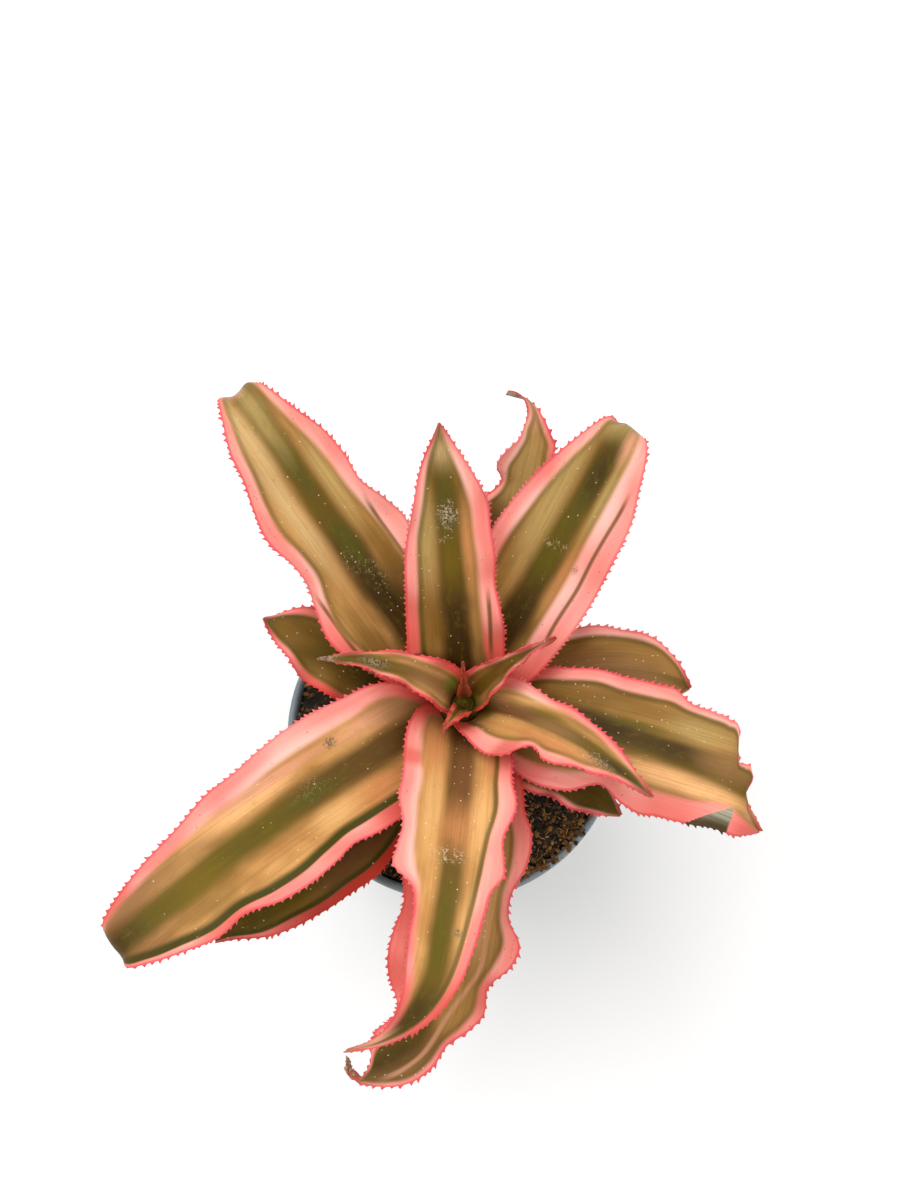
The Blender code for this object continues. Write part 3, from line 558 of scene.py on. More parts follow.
LEAVES = {
    "leaf_01": {
        "turn": -32, "length": 0.0245, "rise": 8, "droop": 16, "sweep": -6, "cup": 14,
        "edges": (
            (8, 6, 6.5, 1.2, 1.2), (12.5, 5.6, 4.9, 1.1, 1.1), (15.5, 4.9, 4.6, 1, 1),
            (18.5, 3.7, 3.8, 0.8, 0.8), (22, 1.8, 1.9, 0.5, 0.5)),
        "tone": 0, "band": (0, 0, 4.5)},
    "leaf_02": {
        "turn": 159, "length": 0.0315, "rise": 12, "droop": 6, "sweep": -6, "cup": 14,
        "edges": (
            (8, 7.3, 7, 1.6, 1.6), (14, 7.2, 6.8, 1.4, 1.6), (18, 6.6, 6.7, 1.4, 1.6),
            (21, 6.2, 6.4, 1.6, 1.6), (25, 3.6, 5.8, 1.1, 1.5), (28, 2.2, 3.9, 0.8, 1),
            (30.5, 0.7, 1.4, 0.4, 0.5)),
        "tone": 0.1, "band": (0, 0, 4), "red_to": (36, 16), "tints": (("coral_shade", 1, 17, 8),),
        "patches": (("olive", 26, 0, 6, 3),)},
    "leaf_03": {
        "turn": 20, "length": 0.0340, "rise": 14, "droop": 30, "droop_power": 2.5, "sweep": -38, "cup": 12,
        "edges": (
            (8, 8, 8, 1.6, 1.6), (14, 8.6, 8.2, 1.7, 1.6), (18, 8.7, 8.2, 1.6, 1.6), (22, 8.2, 8, 1.3, 1.4),
            (25, 7.5, 7.2, 1.1, 1.2), (28, 6.3, 6, 0.9, 1), (31, 4, 3.6, 0.7, 0.7), (33, 1.5, 1.2, 0.4, 0.4)),
        "tone": 0.18, "band": (1, 0.5, 0.9), "tints": (("pale", 1, 18, 16), ("pale", -1, 31, 10)),
        "patches": (("shade", 22, 0, 13, 4),)},
    "leaf_04": {
        "turn": 228, "length": 0.0525, "rise": 10, "droop": 20, "sweep": -10, "cup": 16,
        "edges": (
            (12, 7.6, 7.5, 1.8, 1.8), (20, 9.2, 7.5, 1.6, 1.7), (25, 9.9, 7.3, 1.8, 1.6),
            (30, 9, 6.8, 1.7, 1.5), (35, 8.3, 6, 1.5, 1.4), (40, 7.2, 4.9, 1.6, 1.2), (45, 5.1, 3.6, 1.1, 1),
            (50, 1.7, 1.5, 0.5, 0.5)),
        "tone": 0, "band": (2, 0.5, 3.4), "lines": (1, 0.5), "red_to": (75, 30),
        "tints": (("shadow_red", 1, 21, 18), ("shadow_red", 1, 24, 15), ("shadow_red", 1, 32, 12)),
        "patches": (("mauve", 24, 5, 10, 2), ("green", 38, 3, 8, 2))},
    "leaf_05": {
        "turn": 74, "length": 0.0550, "rise": 22, "droop": -4, "sweep": 4, "hook": 112, "hook_at": 0.82,
        "cup": 20, "twist": 40,
        "edges": (
            (14, 7, 7, 1.8, 1.8), (26, 7, 6.8, 1.5, 1.6), (31, 7.6, 6.3, 2, 1.6), (33, 5.2, 6, 1.4, 1.5),
            (35.5, 3.7, 5.6, 0.8, 1.4), (38, 5.6, 5, 2.2, 1.3), (41, 4.7, 4.5, 2.4, 1.2),
            (43.5, 2.4, 4.1, 1, 1.1), (45, 1.9, 3, 0.6, 1), (47.5, 1.2, 1.3, 0.5, 0.6),
            (51, 0.7, 0.7, 0.4, 0.4)),
        "tone": 0.5, "band": (0.5, 0, 0.1), "tints": (("pale", 1, 43, 10), ("pale", 1, 42, 10)),
        "patches": (("dark", 27, 3, 6, 3), ("straw", 38, 0, 10, 4), ("rose", 50, 0, 5, 2))},
    "leaf_06": {
        "turn": -89, "length": 0.0692, "rise": 14, "droop": 41, "sweep": -22.5, "hook": -62, "hook_at": 0.60,
        "flick": -90, "flick_at": 0.95, "cup": 16,
        "edges": (
            (8, 10, 9.5, 3.2, 3), (14, 10.8, 10, 2.8, 3), (17, 11.9, 10.2, 3, 3), (22, 11.6, 10, 2.6, 3),
            (27, 9.5, 9.2, 1.5, 2.6), (31, 9.7, 8.6, 1.5, 2.4), (35, 12.2, 9.3, 2.8, 2.6),
            (38, 11.4, 9.6, 2.8, 2.8), (42, 8.3, 9.2, 1.5, 3), (46, 8.6, 7.6, 1.8, 2.6),
            (48, 7.4, 6.4, 1.5, 2.2), (51, 5.2, 5, 0.8, 1.8), (54, 5.5, 5.2, 0.9, 1.8),
            (58, 5.1, 5.2, 0.8, 1.8), (61, 4, 3.4, 0.8, 1.6), (62.5, 3.3, 1, 0.6, 1),
            (64, 2.6, -0.4, 0.5, 0.6), (65, 2.2, -1, 0.4, 0.4), (66, 1, 0.2, 0.3, 0.3),
            (67.5, 0.4, 0.4, 0.2, 0.2)),
        "tone": 0.3, "band": (-2, -1, 2.6), "lines": (0.3, 0.2), "red_to": (30, 50), "dry_tip": 0.05,
        "streak": (31, 61, (37, 6.4), (51, 2.7), 0.45),
        "tints": (("coral_shade", 1, 43, 5), ("coral_shade", -1, 30, 10), ("coral_shade", -1, 44, 6)),
        "patches": (
            ("gold", 28, 5, 11, 3.5), ("orange", 16, 5, 9, 4), ("shade", 14, 0, 9, 3), ("dark", 60, 2, 9, 4),
            ("shade", 63, 4.5, 10, 3), ("straw", 18, 6, 6, 2))},
    "leaf_07": {
        "turn": 129, "length": 0.0690, "rise": 26, "droop": 14, "sweep": -4, "curl": 100, "cup": 16,
        "edges": (
            (8, 8.5, 8.5, 2.6, 2.8), (14, 11, 9.8, 2.6, 3), (20, 12.4, 10.6, 2.8, 3.4),
            (25, 11, 10.8, 2.3, 3.6), (30, 9.6, 11.4, 2.3, 4.2), (34, 9.8, 10.4, 2.3, 3.6),
            (39, 10.9, 8.6, 2.7, 2.4), (45, 9.9, 9, 2.3, 3), (50, 8.5, 8.4, 1.9, 3), (55, 7.6, 6.5, 1.9, 2.1),
            (60, 5.6, 4.9, 1.3, 1.3), (64, 4, 4.1, 0.8, 1), (67, 2.6, 3, 0.6, 0.8)),
        "pushes": ((2.8, 0.4, 1.2), (-2.5, 0.9, 1.5)), "tone": 0.5, "band": (-0.2, -0.4, 2.7),
        "lines": (0.35, 0.2), "red_to": (26, 15), "stripes": ((10, 6, 29), (-7.1, 16, 38)),
        "tints": (("pale", 1, 30, 9), ("pale", -1, 32, 12), ("coral_shade", -1, 66, 5)),
        "patches": (
            ("dark", 20, -0.4, 11, 3.6), ("dark", 17, -5, 9, 2.6), ("moss", 31, -0.8, 6, 1.6),
            ("moss", 47, -0.5, 6, 1.3), ("olive", 15, 6.5, 8, 2.6), ("beige", 40, 4.6, 14, 2),
            ("olive", 28, -5, 8, 1.6), ("straw", 42, -4.4, 10, 1.6), ("beige", 55, 3.4, 9, 2),
            ("straw", 58, -0.3, 9, 2), ("rose", 67, 1, 4, 3)),
        "scuffs": (("scratch", 24, -1.5, 3, 1.5, 0.3), ("scratch", 28, 1, 3, 1.5, 0.2))},
    "leaf_08": {
        "turn": -14, "length": 0.0520, "rise": 20, "droop": 22, "sweep": -7, "curl": 50, "cup": 12,
        "edges": (
            (8, 9.6, 9.8, 2.2, 3), (13, 10.2, 11.2, 2, 3.6), (18, 11.3, 11, 2.2, 3.6),
            (23, 10.8, 8.3, 2.2, 2.4), (28, 10.9, 10.8, 2.2, 3.8), (31, 11.2, 11.6, 2.3, 4.6),
            (34, 9.6, 11, 1.3, 4.2), (38, 9, 10.8, 1.1, 4.2), (41, 8.7, 10.6, 1, 4.4),
            (43, 7.6, 10.2, 0.8, 4.6), (43.8, 4.8, 10.1, 0.2, 4.6), (44.5, 2.9, 10, 0.3, 4.6),
            (46, 2.6, 9.9, 0.8, 4.2), (47.2, 1.9, 9.8, 0.8, 3.6), (47.8, -1.4, 9.7, 0.2, 3.2),
            (48.3, -3.2, 9.6, 0.2, 2.8), (49.5, -4.6, 9, 0.2, 2), (51, -5.9, 8.2, 0.2, 1.2)),
        "pushes": ((0.9, 0.8, 0.9), (-2, -0.4, 0.8), (-7.2, 0.6, 0.8)),
        "tone": 0.38, "band": (3.2, -1.2, 2.9), "lines": (0.5, 0.1), "turned": (39, 46, 4.6),
        "tints": (("pale", 1, 40, 8), ("coral_shade", -1, 36, 9), ("coral_shade", -1, 50, 6)),
        "patches": (
            ("dark", 20, 1.8, 11, 2.2), ("dark", 33, 0.8, 9, 2.4), ("olive", 14, 6.5, 7, 2.5),
            ("olive", 28, 6, 14, 2.6), ("straw", 37, 5, 7, 2.4), ("peach", 33, -4, 11, 2),
            ("peach", 43, -4.8, 6, 1.6), ("green", 28, 3.4, 8, 1), ("shade", 43, 1, 6, 3),
            ("rose", 49.5, -5.4, 2.5, 1.6))},
    "leaf_09": {
        "turn": 213, "length": 0.0745, "rise": 24, "droop": 32, "sweep": 9, "curl": 120, "curl_at": 0.89,
        "cup": 14,
        "edges": (
            (8, 10, 10.8, 2.5, 2.8), (16, 11.3, 11.9, 2.7, 3.8), (24, 11.2, 12.1, 2.6, 4.1),
            (28, 10.5, 12.1, 2.1, 4.1), (33, 11.5, 11.7, 2.4, 3.9), (38, 12, 10.8, 2.2, 3.6),
            (44, 11.3, 10.4, 1.9, 3.4), (50, 9.4, 9.2, 1.1, 2.8), (56, 9.8, 8.1, 1.4, 2.1),
            (62, 7.7, 6.8, 1.1, 1.6), (67, 5.6, 5.6, 0.8, 1.1), (71, 3.2, 4, 0.6, 0.9)),
        "tone": 0.75, "band": (-0.9, 0.1, 3), "lines": (1, 0), "line_width": 1.7, "red_to": (30, 14),
        "tints": (
            ("pale", -1, 22, 14), ("pale", -1, 34, 12), ("coral_shade", 1, 18, 7), ("coral_shade", 1, 54, 7),
            ("coral_shade", -1, 66, 6)),
        "patches": (
            ("orange", 19, 5, 6, 2.2), ("gold", 28, 4.8, 5, 2.2), ("olive", 55, 4.5, 9, 2.6),
            ("mauve", 67, 3, 8, 3), ("moss", 30, -0.2, 7, 1.4), ("green", 42, -0.3, 10, 2.4),
            ("yellow", 54, 0.2, 8, 2.4), ("peach", 40, -5.2, 10, 1.8), ("rose", 14, -6, 9, 1.8),
            ("rose", 34, -6.4, 12, 1), ("shade", 58, -4.2, 11, 2.4), ("mauve", 68, -2.5, 7, 2.5),
            ("green", 65, 0, 9, 2.6), ("shade", 66, -5, 8, 2.4), ("shade", 6, -6, 7, 3),
            ("dark", 70, 0, 6, 3)),
        "scuffs": (("stain", 21.5, -6.3, 1.1, 0.9, 0.8), ("scratch", 29, -1.5, 3, 2, 0.2))},
    "leaf_10": {
        "turn": 57, "length": 0.0590, "rise": 32, "droop": 10, "sweep": 3, "curl": 110, "cup": 16,
        "edges": (
            (8, 8.4, 8, 2.4, 4.4), (14, 9.8, 9.2, 2.4, 5.2), (20, 10.3, 10, 2.4, 5.7),
            (28, 11, 10.2, 2.9, 5.8), (34, 10.3, 10, 3, 5.8), (40, 9, 9.4, 2.7, 5.3), (45, 7.3, 8.1, 2.2, 4),
            (50, 5.3, 6.6, 1.8, 2.6), (54, 3.6, 4.4, 0.9, 1.2)),
        "pushes": ((1.4, -1, 1), (-1.8, -0.2, 1.5)), "tone": 0.36, "band": (0.8, -0.6, 2.8),
        "lines": (0.3, 0.2), "red_to": (15, 22), "stripes": ((-6.4, 12, 46),),
        "tints": (("pale", 1, 34, 9), ("pale", -1, 20, 14), ("pale", -1, 42, 14)),
        "patches": (
            ("green", 28, 0.5, 10, 2), ("moss", 40, -0.2, 8, 1.4), ("dark", 16, 0, 8, 3),
            ("dark", 45, -0.5, 6, 2), ("straw", 36, 4.6, 16, 2.4), ("straw", 42, -3.4, 9, 1.2),
            ("orange", 26, -3.8, 8, 1.2), ("olive", 18, 6, 8, 2), ("straw", 55, 0.5, 4, 4),
            ("rose", 52, -2.8, 5, 1.5)),
        "scuffs": (("scratch", 30.5, 0.4, 1, 2.6, 0.5), ("stain", 28.5, -5, 0.8, 0.6, 0.5))},
    "leaf_11": {
        "turn": -92, "clasp": (50, 90), "length": 0.0705, "rise": 36, "droop": 76, "sweep": -12, "hook": -66,
        "hook_at": 0.62, "cup": 20,
        "edges": (
            (1.5, 5.5, 9.2, 1.8, 2.4), (4, 7.6, 10.2, 2, 2.8), (9, 8.7, 10.4, 2.2, 3.1),
            (15, 8.8, 10, 2.3, 3.4), (20, 9.8, 10.2, 3, 3.2), (25, 8.1, 9, 2.3, 2.3), (29, 8.6, 9.5, 3.2, 3),
            (32, 8.8, 9.6, 3.6, 3.8), (34.5, 7.2, 6.4, 2.2, 1.5), (38, 6.5, 5.2, 1.9, 0.9),
            (43, 5.7, 5.3, 1.8, 1.2), (48, 4.7, 4.9, 1.5, 1.6), (53, 3.3, 3.8, 1.1, 1.5),
            (60, 1.4, 1.7, 0.7, 0.8), (65, 0.7, 0.7, 0.4, 0.4)),
        "tone": 0.82, "band": (-0.2, 0.3, 2.3), "lines": (0.7, 0), "red_to": (16, 8),
        "tints": (
            ("pale", -1, 20, 12), ("pale", -1, 31, 8), ("coral_shade", -1, 11, 2.5), ("coral_shade", 1, 55, 11),
            ("coral_shade", 1, 54, 8), ("coral_shade", -1, 55, 8)),
        "patches": (
            ("mauve", 12, 0.5, 10, 2.4), ("orange", 8, 5, 8, 2.4), ("orange", 8, -5, 8, 2.4),
            ("orange", 24, 0.6, 5.5, 3.4), ("gold", 22, 4.2, 8, 2), ("gold", 42, 4.6, 8, 2),
            ("gold", 20, -4.4, 9, 1.8), ("green", 42, -0.2, 10, 1.6), ("dark", 57, 0, 7, 3),
            ("rose", 66, 0, 6, 2)),
        "scuffs": (("scratch", 29, -0.6, 1.3, 3.2, 0.9), ("stain", 41.5, 2.7, 0.7, 0.6, 0.7))},
    "leaf_12": {
        "turn": 97, "length": 0.0548, "rise": 54, "droop": 10, "cup": 22,
        "edges": (
            (5, 7.2, 7.2, 1.7, 2.7), (10, 9, 8, 2.3, 3.6), (17, 8.7, 7.9, 2.2, 3.5), (23, 8.3, 7.2, 2.2, 2.9),
            (30, 7.8, 7.5, 2.1, 3), (35, 6.8, 7.2, 1.7, 3), (40, 5.6, 7.1, 1.5, 3.1),
            (45, 4.1, 5.5, 1.2, 2.4), (50, 2.2, 2.8, 0.7, 1.3)),
        "tone": 0.4, "band": (0.2, 0, 2.8), "lines": (0.45, 0.2), "red_to": (30, 22),
        "stripes": ((-5.4, 6, 24),),
        "tints": (("pale", 1, 40, 9), ("pale", -1, 47, 9), ("coral_shade", 1, 18, 8)),
        "patches": (
            ("moss", 14, 6.3, 14, 0.9), ("yellow", 29, 0, 8, 1.8), ("moss", 40, 0, 7, 1.2),
            ("dark", 13, 0, 12, 3.2), ("olive", 16, 4.5, 9, 2.4), ("straw", 35, 3.8, 11, 2.2),
            ("orange", 31, -3.4, 9, 1.4), ("beige", 51, 0, 5, 3)),
        "scuffs": (
            ("stain", 38, -0.2, 2.4, 1.7, 0.8), ("scratch", 38, -0.2, 2.6, 2, 0.8),
            ("scratch", 33.5, 0.5, 1, 1.6, 0.4))},
    "leaf_13": {
        "turn": -16, "clasp": (50, 110), "length": 0.0385, "rise": 36, "droop": 34, "sweep": -30, "cup": 24,
        "edges": (
            (1.5, 4, 7.3, 1, 2.8), (3.5, 5.2, 7.7, 1.6, 3.2), (6, 6.2, 8.8, 2.2, 3.6),
            (10, 5.6, 9.2, 1.9, 3.8), (12.5, 4.9, 8.4, 1.6, 3.4), (15, 4.5, 4.9, 1.3, 0.9),
            (19, 4.3, 6, 1.2, 1.6), (22, 3.9, 6, 1.1, 2), (24.5, 3.5, 4.5, 1, 0.9), (29, 2.5, 3.4, 1, 1.1),
            (34, 1.1, 1.5, 0.5, 0.6)),
        "tone": 0.62, "band": (0.6, -0.4, 1.2), "lines": (0.2, 0.4), "red_to": (10, 6),
        "tints": (("coral_shade", -1, 12, 3.5), ("pale", 1, 12, 6)),
        "patches": (
            ("gold", 6, 3.6, 8, 3), ("gold", 14, 3.6, 6, 1.2), ("orange", 20, -3, 12, 1.8),
            ("shade", 17, 0, 6, 1.4), ("green", 15, 1.6, 6, 0.7), ("dark", 31, -0.6, 5, 1),
            ("mauve", 9, 0.5, 5, 1.6), ("green", 3, -1, 3, 1.5)),
        "scuffs": (("stain", 28, -1.4, 3.5, 0.9, 0.5), ("scratch", 27, -1.2, 3, 1, 0.5))},
    "leaf_14": {
        "turn": 153, "clasp": (70, 75), "length": 0.0285, "rise": 45, "droop": 50, "bend": 0.0044,
        "sweep": 30, "cup": 40, "teeth": 0.6,
        "edges": (
            (1.6, 3.8, 4.3, 0.9, 1.2), (3, 4, 4.8, 1, 1.5), (6, 3.8, 5, 1, 1.8), (10, 3, 3.9, 0.8, 1.1),
            (15, 2.3, 3, 0.7, 0.6), (20, 1.5, 1.8, 0.4, 0.4), (25, 0.7, 0.8, 0.2, 0.2)),
        "tone": 0.95, "band": (0, 0, 1.4), "dry_tip": 0.12,
        "patches": (("gold", 5, 2.6, 8, 2.6), ("shade", 7, -0.6, 7, 3), ("lime", 3.3, -2, 1.8, 2)),
        "scuffs": (("stain", 19, 0, 3, 1, 0.8),)},
    "leaf_15": {
        "turn": 36, "clasp": (70, 80), "length": 0.0230, "rise": 60, "droop": 40, "sweep": -16, "cup": 50,
        "teeth": 0.5,
        "edges": (
            (1, 2.8, 3.3, 0.6, 0.6), (3, 3.5, 3.8, 0.7, 0.6), (6, 3.7, 3.5, 0.9, 0.8),
            (10, 2.6, 2.7, 0.7, 0.8), (15, 1.4, 1.4, 0.5, 0.6), (20, 0.6, 0.6, 0.4, 0.4)),
        "tone": 0.35, "flush": 0.15, "band": (0, 0, 1.2),
        "patches": (("green", 6, 0, 5, 2), ("lime", 1.2, -1.4, 1.8, 1.8))},
    "leaf_16": {
        "turn": 236, "length": 0.0076, "rise": 70, "droop": 110, "cup": 50, "ruffle": 0.0004, "teeth": 0.3,
        "edges": (
            (2, 2.4, 1.4, 1, 0.6), (3.5, 2, 1.1, 1, 0.6), (5, 1.1, 0.7, 0.8, 0.5), (6.5, 0.5, 0.4, 0.4, 0.4)),
        "flush": 0.2, "band": (0, 0, 0.5)},
    "leaf_17": {
        "turn": 95, "length": 0.0130, "rise": 76, "droop": 6, "cup": 50, "ruffle": 0.0002, "teeth": 0.2,
        "edges": (
            (1.5, 1.4, 1.4, 0.3, 0.3), (4, 1.1, 1.1, 0.3, 0.3), (6, 0.6, 0.6, 0.2, 0.2),
            (8, 0.35, 0.35, 0.2, 0.2), (11, 0.25, 0.25, 0.2, 0.2)),
        "flush": 0.6, "band": (0, 0, 0.6)},
}


def ease(start, end, value):
    """0 before start, 1 after end, and a smooth step between them."""
    part = np.clip((value - start) / (end - start), 0.0, 1.0)
    return part * part * (3 - 2 * part)


def smooth_through(stations, values, where):
    """A smooth curve through the values given at the stations."""
    stations, values = np.array(stations, dtype=float), np.array(values, dtype=float)
    grades = np.gradient(values, stations)
    first = np.clip(np.searchsorted(stations, where, side="right") - 1, 0, len(stations) - 2)
    gap = stations[first + 1] - stations[first]
    part = (where - stations[first]) / gap
    start = (1 + 2 * part) * (1 - part) ** 2 * values[first] + part * (1 - part) ** 2 * gap * grades[first]
    end = part ** 2 * (3 - 2 * part) * values[first + 1] - part ** 2 * (1 - part) * gap * grades[first + 1]
    return start + end


def slope(leaf, along):
    """The midrib's climb: up the stem, out, then down to the tip."""
    sheath = (SHEATH_PITCH - leaf["rise"]) * np.exp(-along * leaf["length"] / leaf["bend"])
    droop = leaf["droop"] * along ** leaf["droop_power"]
    return np.radians(leaf["rise"] + sheath - droop - leaf["curl"] * ease(leaf["curl_at"], 1.0, along))


def heading(leaf, along):
    """The midrib's compass direction."""
    turn = leaf["turn"] + leaf["sweep"] * along + leaf["hook"] * ease(leaf["hook_at"], 1.0, along)
    return np.radians(turn + leaf["flick"] * ease(leaf["flick_at"], 0.5 + 0.5 * leaf["flick_at"], along))


def base_ring(leaf):
    """Radius of the ring in which the leaf clasps the stem."""
    return FIRST_RING + LEVEL_RING * leaf["level"]


def edge_curves(leaf, along):
    """Distance from midrib to margin, and the pink margin's width, as rows for the left and the right."""
    stations = [0.0] + [at * MM for at, *_ in leaf["edges"]] + [leaf["length"]]
    aside = (leaf["edges"][-1][1] - leaf["edges"][-1][2]) / 2 * MM
    ends = {1: TIP_HALF_WIDTH + aside, 2: TIP_HALF_WIDTH - aside, 3: TIP_HALF_WIDTH, 4: TIP_HALF_WIDTH}
    curves = []
    for column, end in ends.items():
        values = [edge[column] * MM for edge in leaf["edges"]]
        clasp = base_ring(leaf) * math.radians(leaf["clasp"][column - 1]) if column < 3 else values[0]
        values = [min(clasp, values[0])] + values + [end]
        curves.append(smooth_through(stations, values, along * leaf["length"]))
    left, right, left_pink, right_pink = curves
    right = np.maximum(right, 2 * TIP_HALF_WIDTH - left)
    return left, right, np.maximum(left_pink, TIP_HALF_WIDTH), np.maximum(right_pink, TIP_HALF_WIDTH)


def direction(climb, compass):
    """Unit vectors that climb at one angle and point along another."""
    flat = np.cos(climb)
    return np.stack([flat * np.cos(compass), flat * np.sin(compass), np.sin(climb)], axis=-1)


def midrib(leaf, rows):
    """Points along the midrib, one for each row of the blade."""
    turn = math.radians(leaf["turn"])
    ring = base_ring(leaf)
    start = np.array([STEM_X + ring * math.cos(turn), STEM_Y + ring * math.sin(turn),
                      CROWN_Z - LEVEL_DROP * leaf["level"]])
    middles = (np.arange(rows) + 0.5) / rows
    steps = direction(slope(leaf, middles), heading(leaf, middles)) * leaf["length"] / rows
    return start + np.vstack([np.zeros(3), np.cumsum(steps, axis=0)])


def teeth(leaf, along, chance):
    """Length of the spines along one margin, row by row: sharp and unevenly spaced, leaning to the tip."""
    place = along * leaf["length"] / MM
    length = np.full(len(along), 0.05)
    at = chance.uniform(0.5, 1.5)
    while at < place[-1] - 0.6:
        before = at - place
        rise = np.clip(1 - before / TOOTH_RISE, 0, 1) ** 1.7 * (before >= 0)
        fall = np.clip(1 + before / TOOTH_FALL, 0, 1) * (before < 0)
        length = np.maximum(length, chance.uniform(0.5, 1.2) * (rise + fall))
        at += chance.uniform(0.75, 1.6)
    fading = ease(0.02, 0.08, along) * (1 - 0.6 * ease(0.88, 1.0, along))
    return TOOTH_HEIGHT * leaf["teeth"] * length * fading


def with_spines(values):
    """The array with its outer columns once more, for the points of the spines."""
    return np.column_stack([values[:, 0], values, values[:, -1]])


def blade_arrays(leaf, rows, chance):
    """The blade's sheet as an array of points, with what the skin needs to know at each of them."""
    along = np.arange(rows + 1) / rows
    left, right, left_pink, right_pink = edge_curves(leaf, along)
    side = np.linspace(-1, 1, COLUMNS + 1)
    side = np.sign(side) * np.abs(side) ** COLUMN_CROWDING
    on_left = (side > 0)[None, :]
    half, centre = (left + right)[:, None] / 2, (left - right)[:, None] / 2
    across = centre + half * side[None, :]
    lift_share = np.abs(side) ** WAVE_REACH
    lift = np.zeros_like(across)
    for sign, lag in ((1, LEFT_WAVE_LAG), (-1, 0)):
        wave = np.sin(np.radians(360 * MARGIN_WAVES * along + lag))
        wave *= leaf["ruffle"] * ease(0.03, 0.3, along)
        lift += wave[:, None] * np.where(side * sign > 0, lift_share, 0.0)[None, :]
    start_band, end_band, half_band = leaf["band"]
    band_centre = start_band + (end_band - start_band) * along
    band_half = half_band * (1.05 - 0.2 * along)
    facts = {
        "across": across / MM,
        "along": np.broadcast_to(along[:, None] * leaf["length"] / MM, across.shape),
        "inward": half * (1 - np.abs(side)) / MM,
        "rim": np.where(on_left, left_pink[:, None], right_pink[:, None]) / MM,
        "middle": np.abs(across / MM - band_centre[:, None]) / band_half[:, None],
        "line": np.where(on_left, leaf["lines"][0], leaf["lines"][1]) * np.ones_like(across),
    }
    spines = [teeth(leaf, along, chance) for _ in range(2)]
    across = np.column_stack([across[:, 0] - spines[0], across, across[:, -1] + spines[1]])
    lift = with_spines(lift)
    facts = {name: with_spines(values) for name, values in facts.items()}
    forward = np.zeros_like(across)
    forward[:, 0], forward[:, -1] = TOOTH_LEAN * spines[0], TOOTH_LEAN * spines[1]
    push = np.zeros_like(across)
    for at, amount, spread in leaf["pushes"]:
        push += amount * MM * np.exp(-((across / MM - at) / spread) ** 2)
    push *= ease(0.84, 0.96, along)[:, None]
    facts["inward"][:, (0, -1)] = TOOTH_INWARD
    climb, compass = slope(leaf, along), heading(leaf, along)
    ahead = direction(climb, compass)
    level = direction(np.zeros_like(climb), compass + math.pi / 2)
    onward = direction(np.zeros_like(climb), compass)
    upward = direction(climb + math.pi / 2, compass)
    roll = (np.radians(leaf["twist"]) * along ** 2)[:, None]
    to_left = np.cos(roll) * level + np.sin(roll) * upward
    to_top = np.cos(roll) * upward - np.sin(roll) * level
    opening = np.exp(-along * leaf["length"] / SHEATH_OPENING)
    widest = np.maximum(np.maximum(left, right), 0.0003)
    bends = []
    for own, clasp in zip((left, right), leaf["clasp"]):
        cup = np.radians(leaf["cup"] + (clasp - leaf["cup"]) * opening)
        bends.append((cup / (opening * own + (1 - opening) * widest))[:, None])
    bend = np.where(across > 0, bends[0], bends[1])
    out = np.sin(bend * across) / bend
    rise = (1 - np.cos(bend * across)) / bend + lift
    points = (midrib(leaf, rows)[:, None, :] + out[:, :, None] * to_left[:, None, :]
              + rise[:, :, None] * to_top[:, None, :] + forward[:, :, None] * ahead[:, None, :]
              + push[:, :, None] * onward[:, None, :])
    return points, facts


def leaf_places(skin, number):
    """What the skin knows at each point, and a flat place on the blade in millimetres."""
    facts = {name: skin.attribute(name) for name in ("across", "along", "inward", "rim", "middle", "line")}
    facts["beyond"] = skin.minus(facts["inward"], facts["rim"])
    apart = skin.plus(facts["across"], LEAVES_APART * number)
    return facts, skin.add("ShaderNodeCombineXYZ", {0: apart, 1: facts["along"]}).outputs[0]


def blade_noise(skin, flat, across, along, detail, roughness=0.5):
    """Noise on the blade, scaled apart across it and along it."""
    place = skin.add("ShaderNodeVectorMath", {0: flat, 1: (across, along, 1.0)}, operation="MULTIPLY")
    return skin.noise(place.outputs[0], 1.0, detail, roughness)


def window(skin, value, start, end, soft):
    """1 between start and end, with a soft step inside each."""
    return skin.times(skin.fade(value, start, start + soft), skin.fall(value, end - soft, end))


def oval(skin, facts, wobble, at, across, along_radius, across_radius):
    """1 in the middle of an oval patch on the blade, falling to 0 at its ragged edge."""
    there = skin.math("DIVIDE", skin.minus(facts["along"], at), along_radius)
    aside = skin.math("DIVIDE", skin.minus(facts["across"], across), across_radius)
    reach = skin.math("SQRT", skin.plus(skin.times(there, there), skin.times(aside, aside)))
    return skin.fall(skin.plus(reach, wobble), 0.2, 1.4)


# Colours for the patches laid on each blade. Some patches are the leaf's own markings; others are painted
# light and shade, paler where a side of the blade faces the lamp and darker where it faces away or lies under
# another leaf. "shade" is such a painted shade.
PATCH_COLOURS = {
    "green": srgb(90, 80, 6), "moss": srgb(78, 78, 20), "lime": srgb(120, 132, 40),
    "yellow": srgb(114, 92, 8), "dark": srgb(50, 33, 4), "olive": srgb(128, 92, 32),
    "mauve": srgb(122, 78, 46), "shade": srgb(150, 108, 66), "straw": srgb(184, 156, 94),
    "beige": srgb(216, 180, 124), "gold": srgb(234, 180, 114), "orange": srgb(210, 138, 84),
    "peach": srgb(252, 190, 128), "rose": srgb(228, 160, 124),
}


def streak_share(skin, leaf, facts, wander):
    """A thin pale line along the blade that steps aside between two places."""
    start, end, (leaves_at, leaves_across), (joins_at, joins_across), half_width = leaf["streak"]
    middle = skin.fade(facts["along"], leaves_at, joins_at, leaves_across, joins_across)
    apart = skin.gap(skin.plus(facts["across"], skin.times(wander, 1.5)), middle)
    share = skin.fall(apart, 0.2 * half_width, 1.5 * half_width, 0.6)
    return skin.times(share, window(skin, facts["along"], start - 3, end + 3, 6))


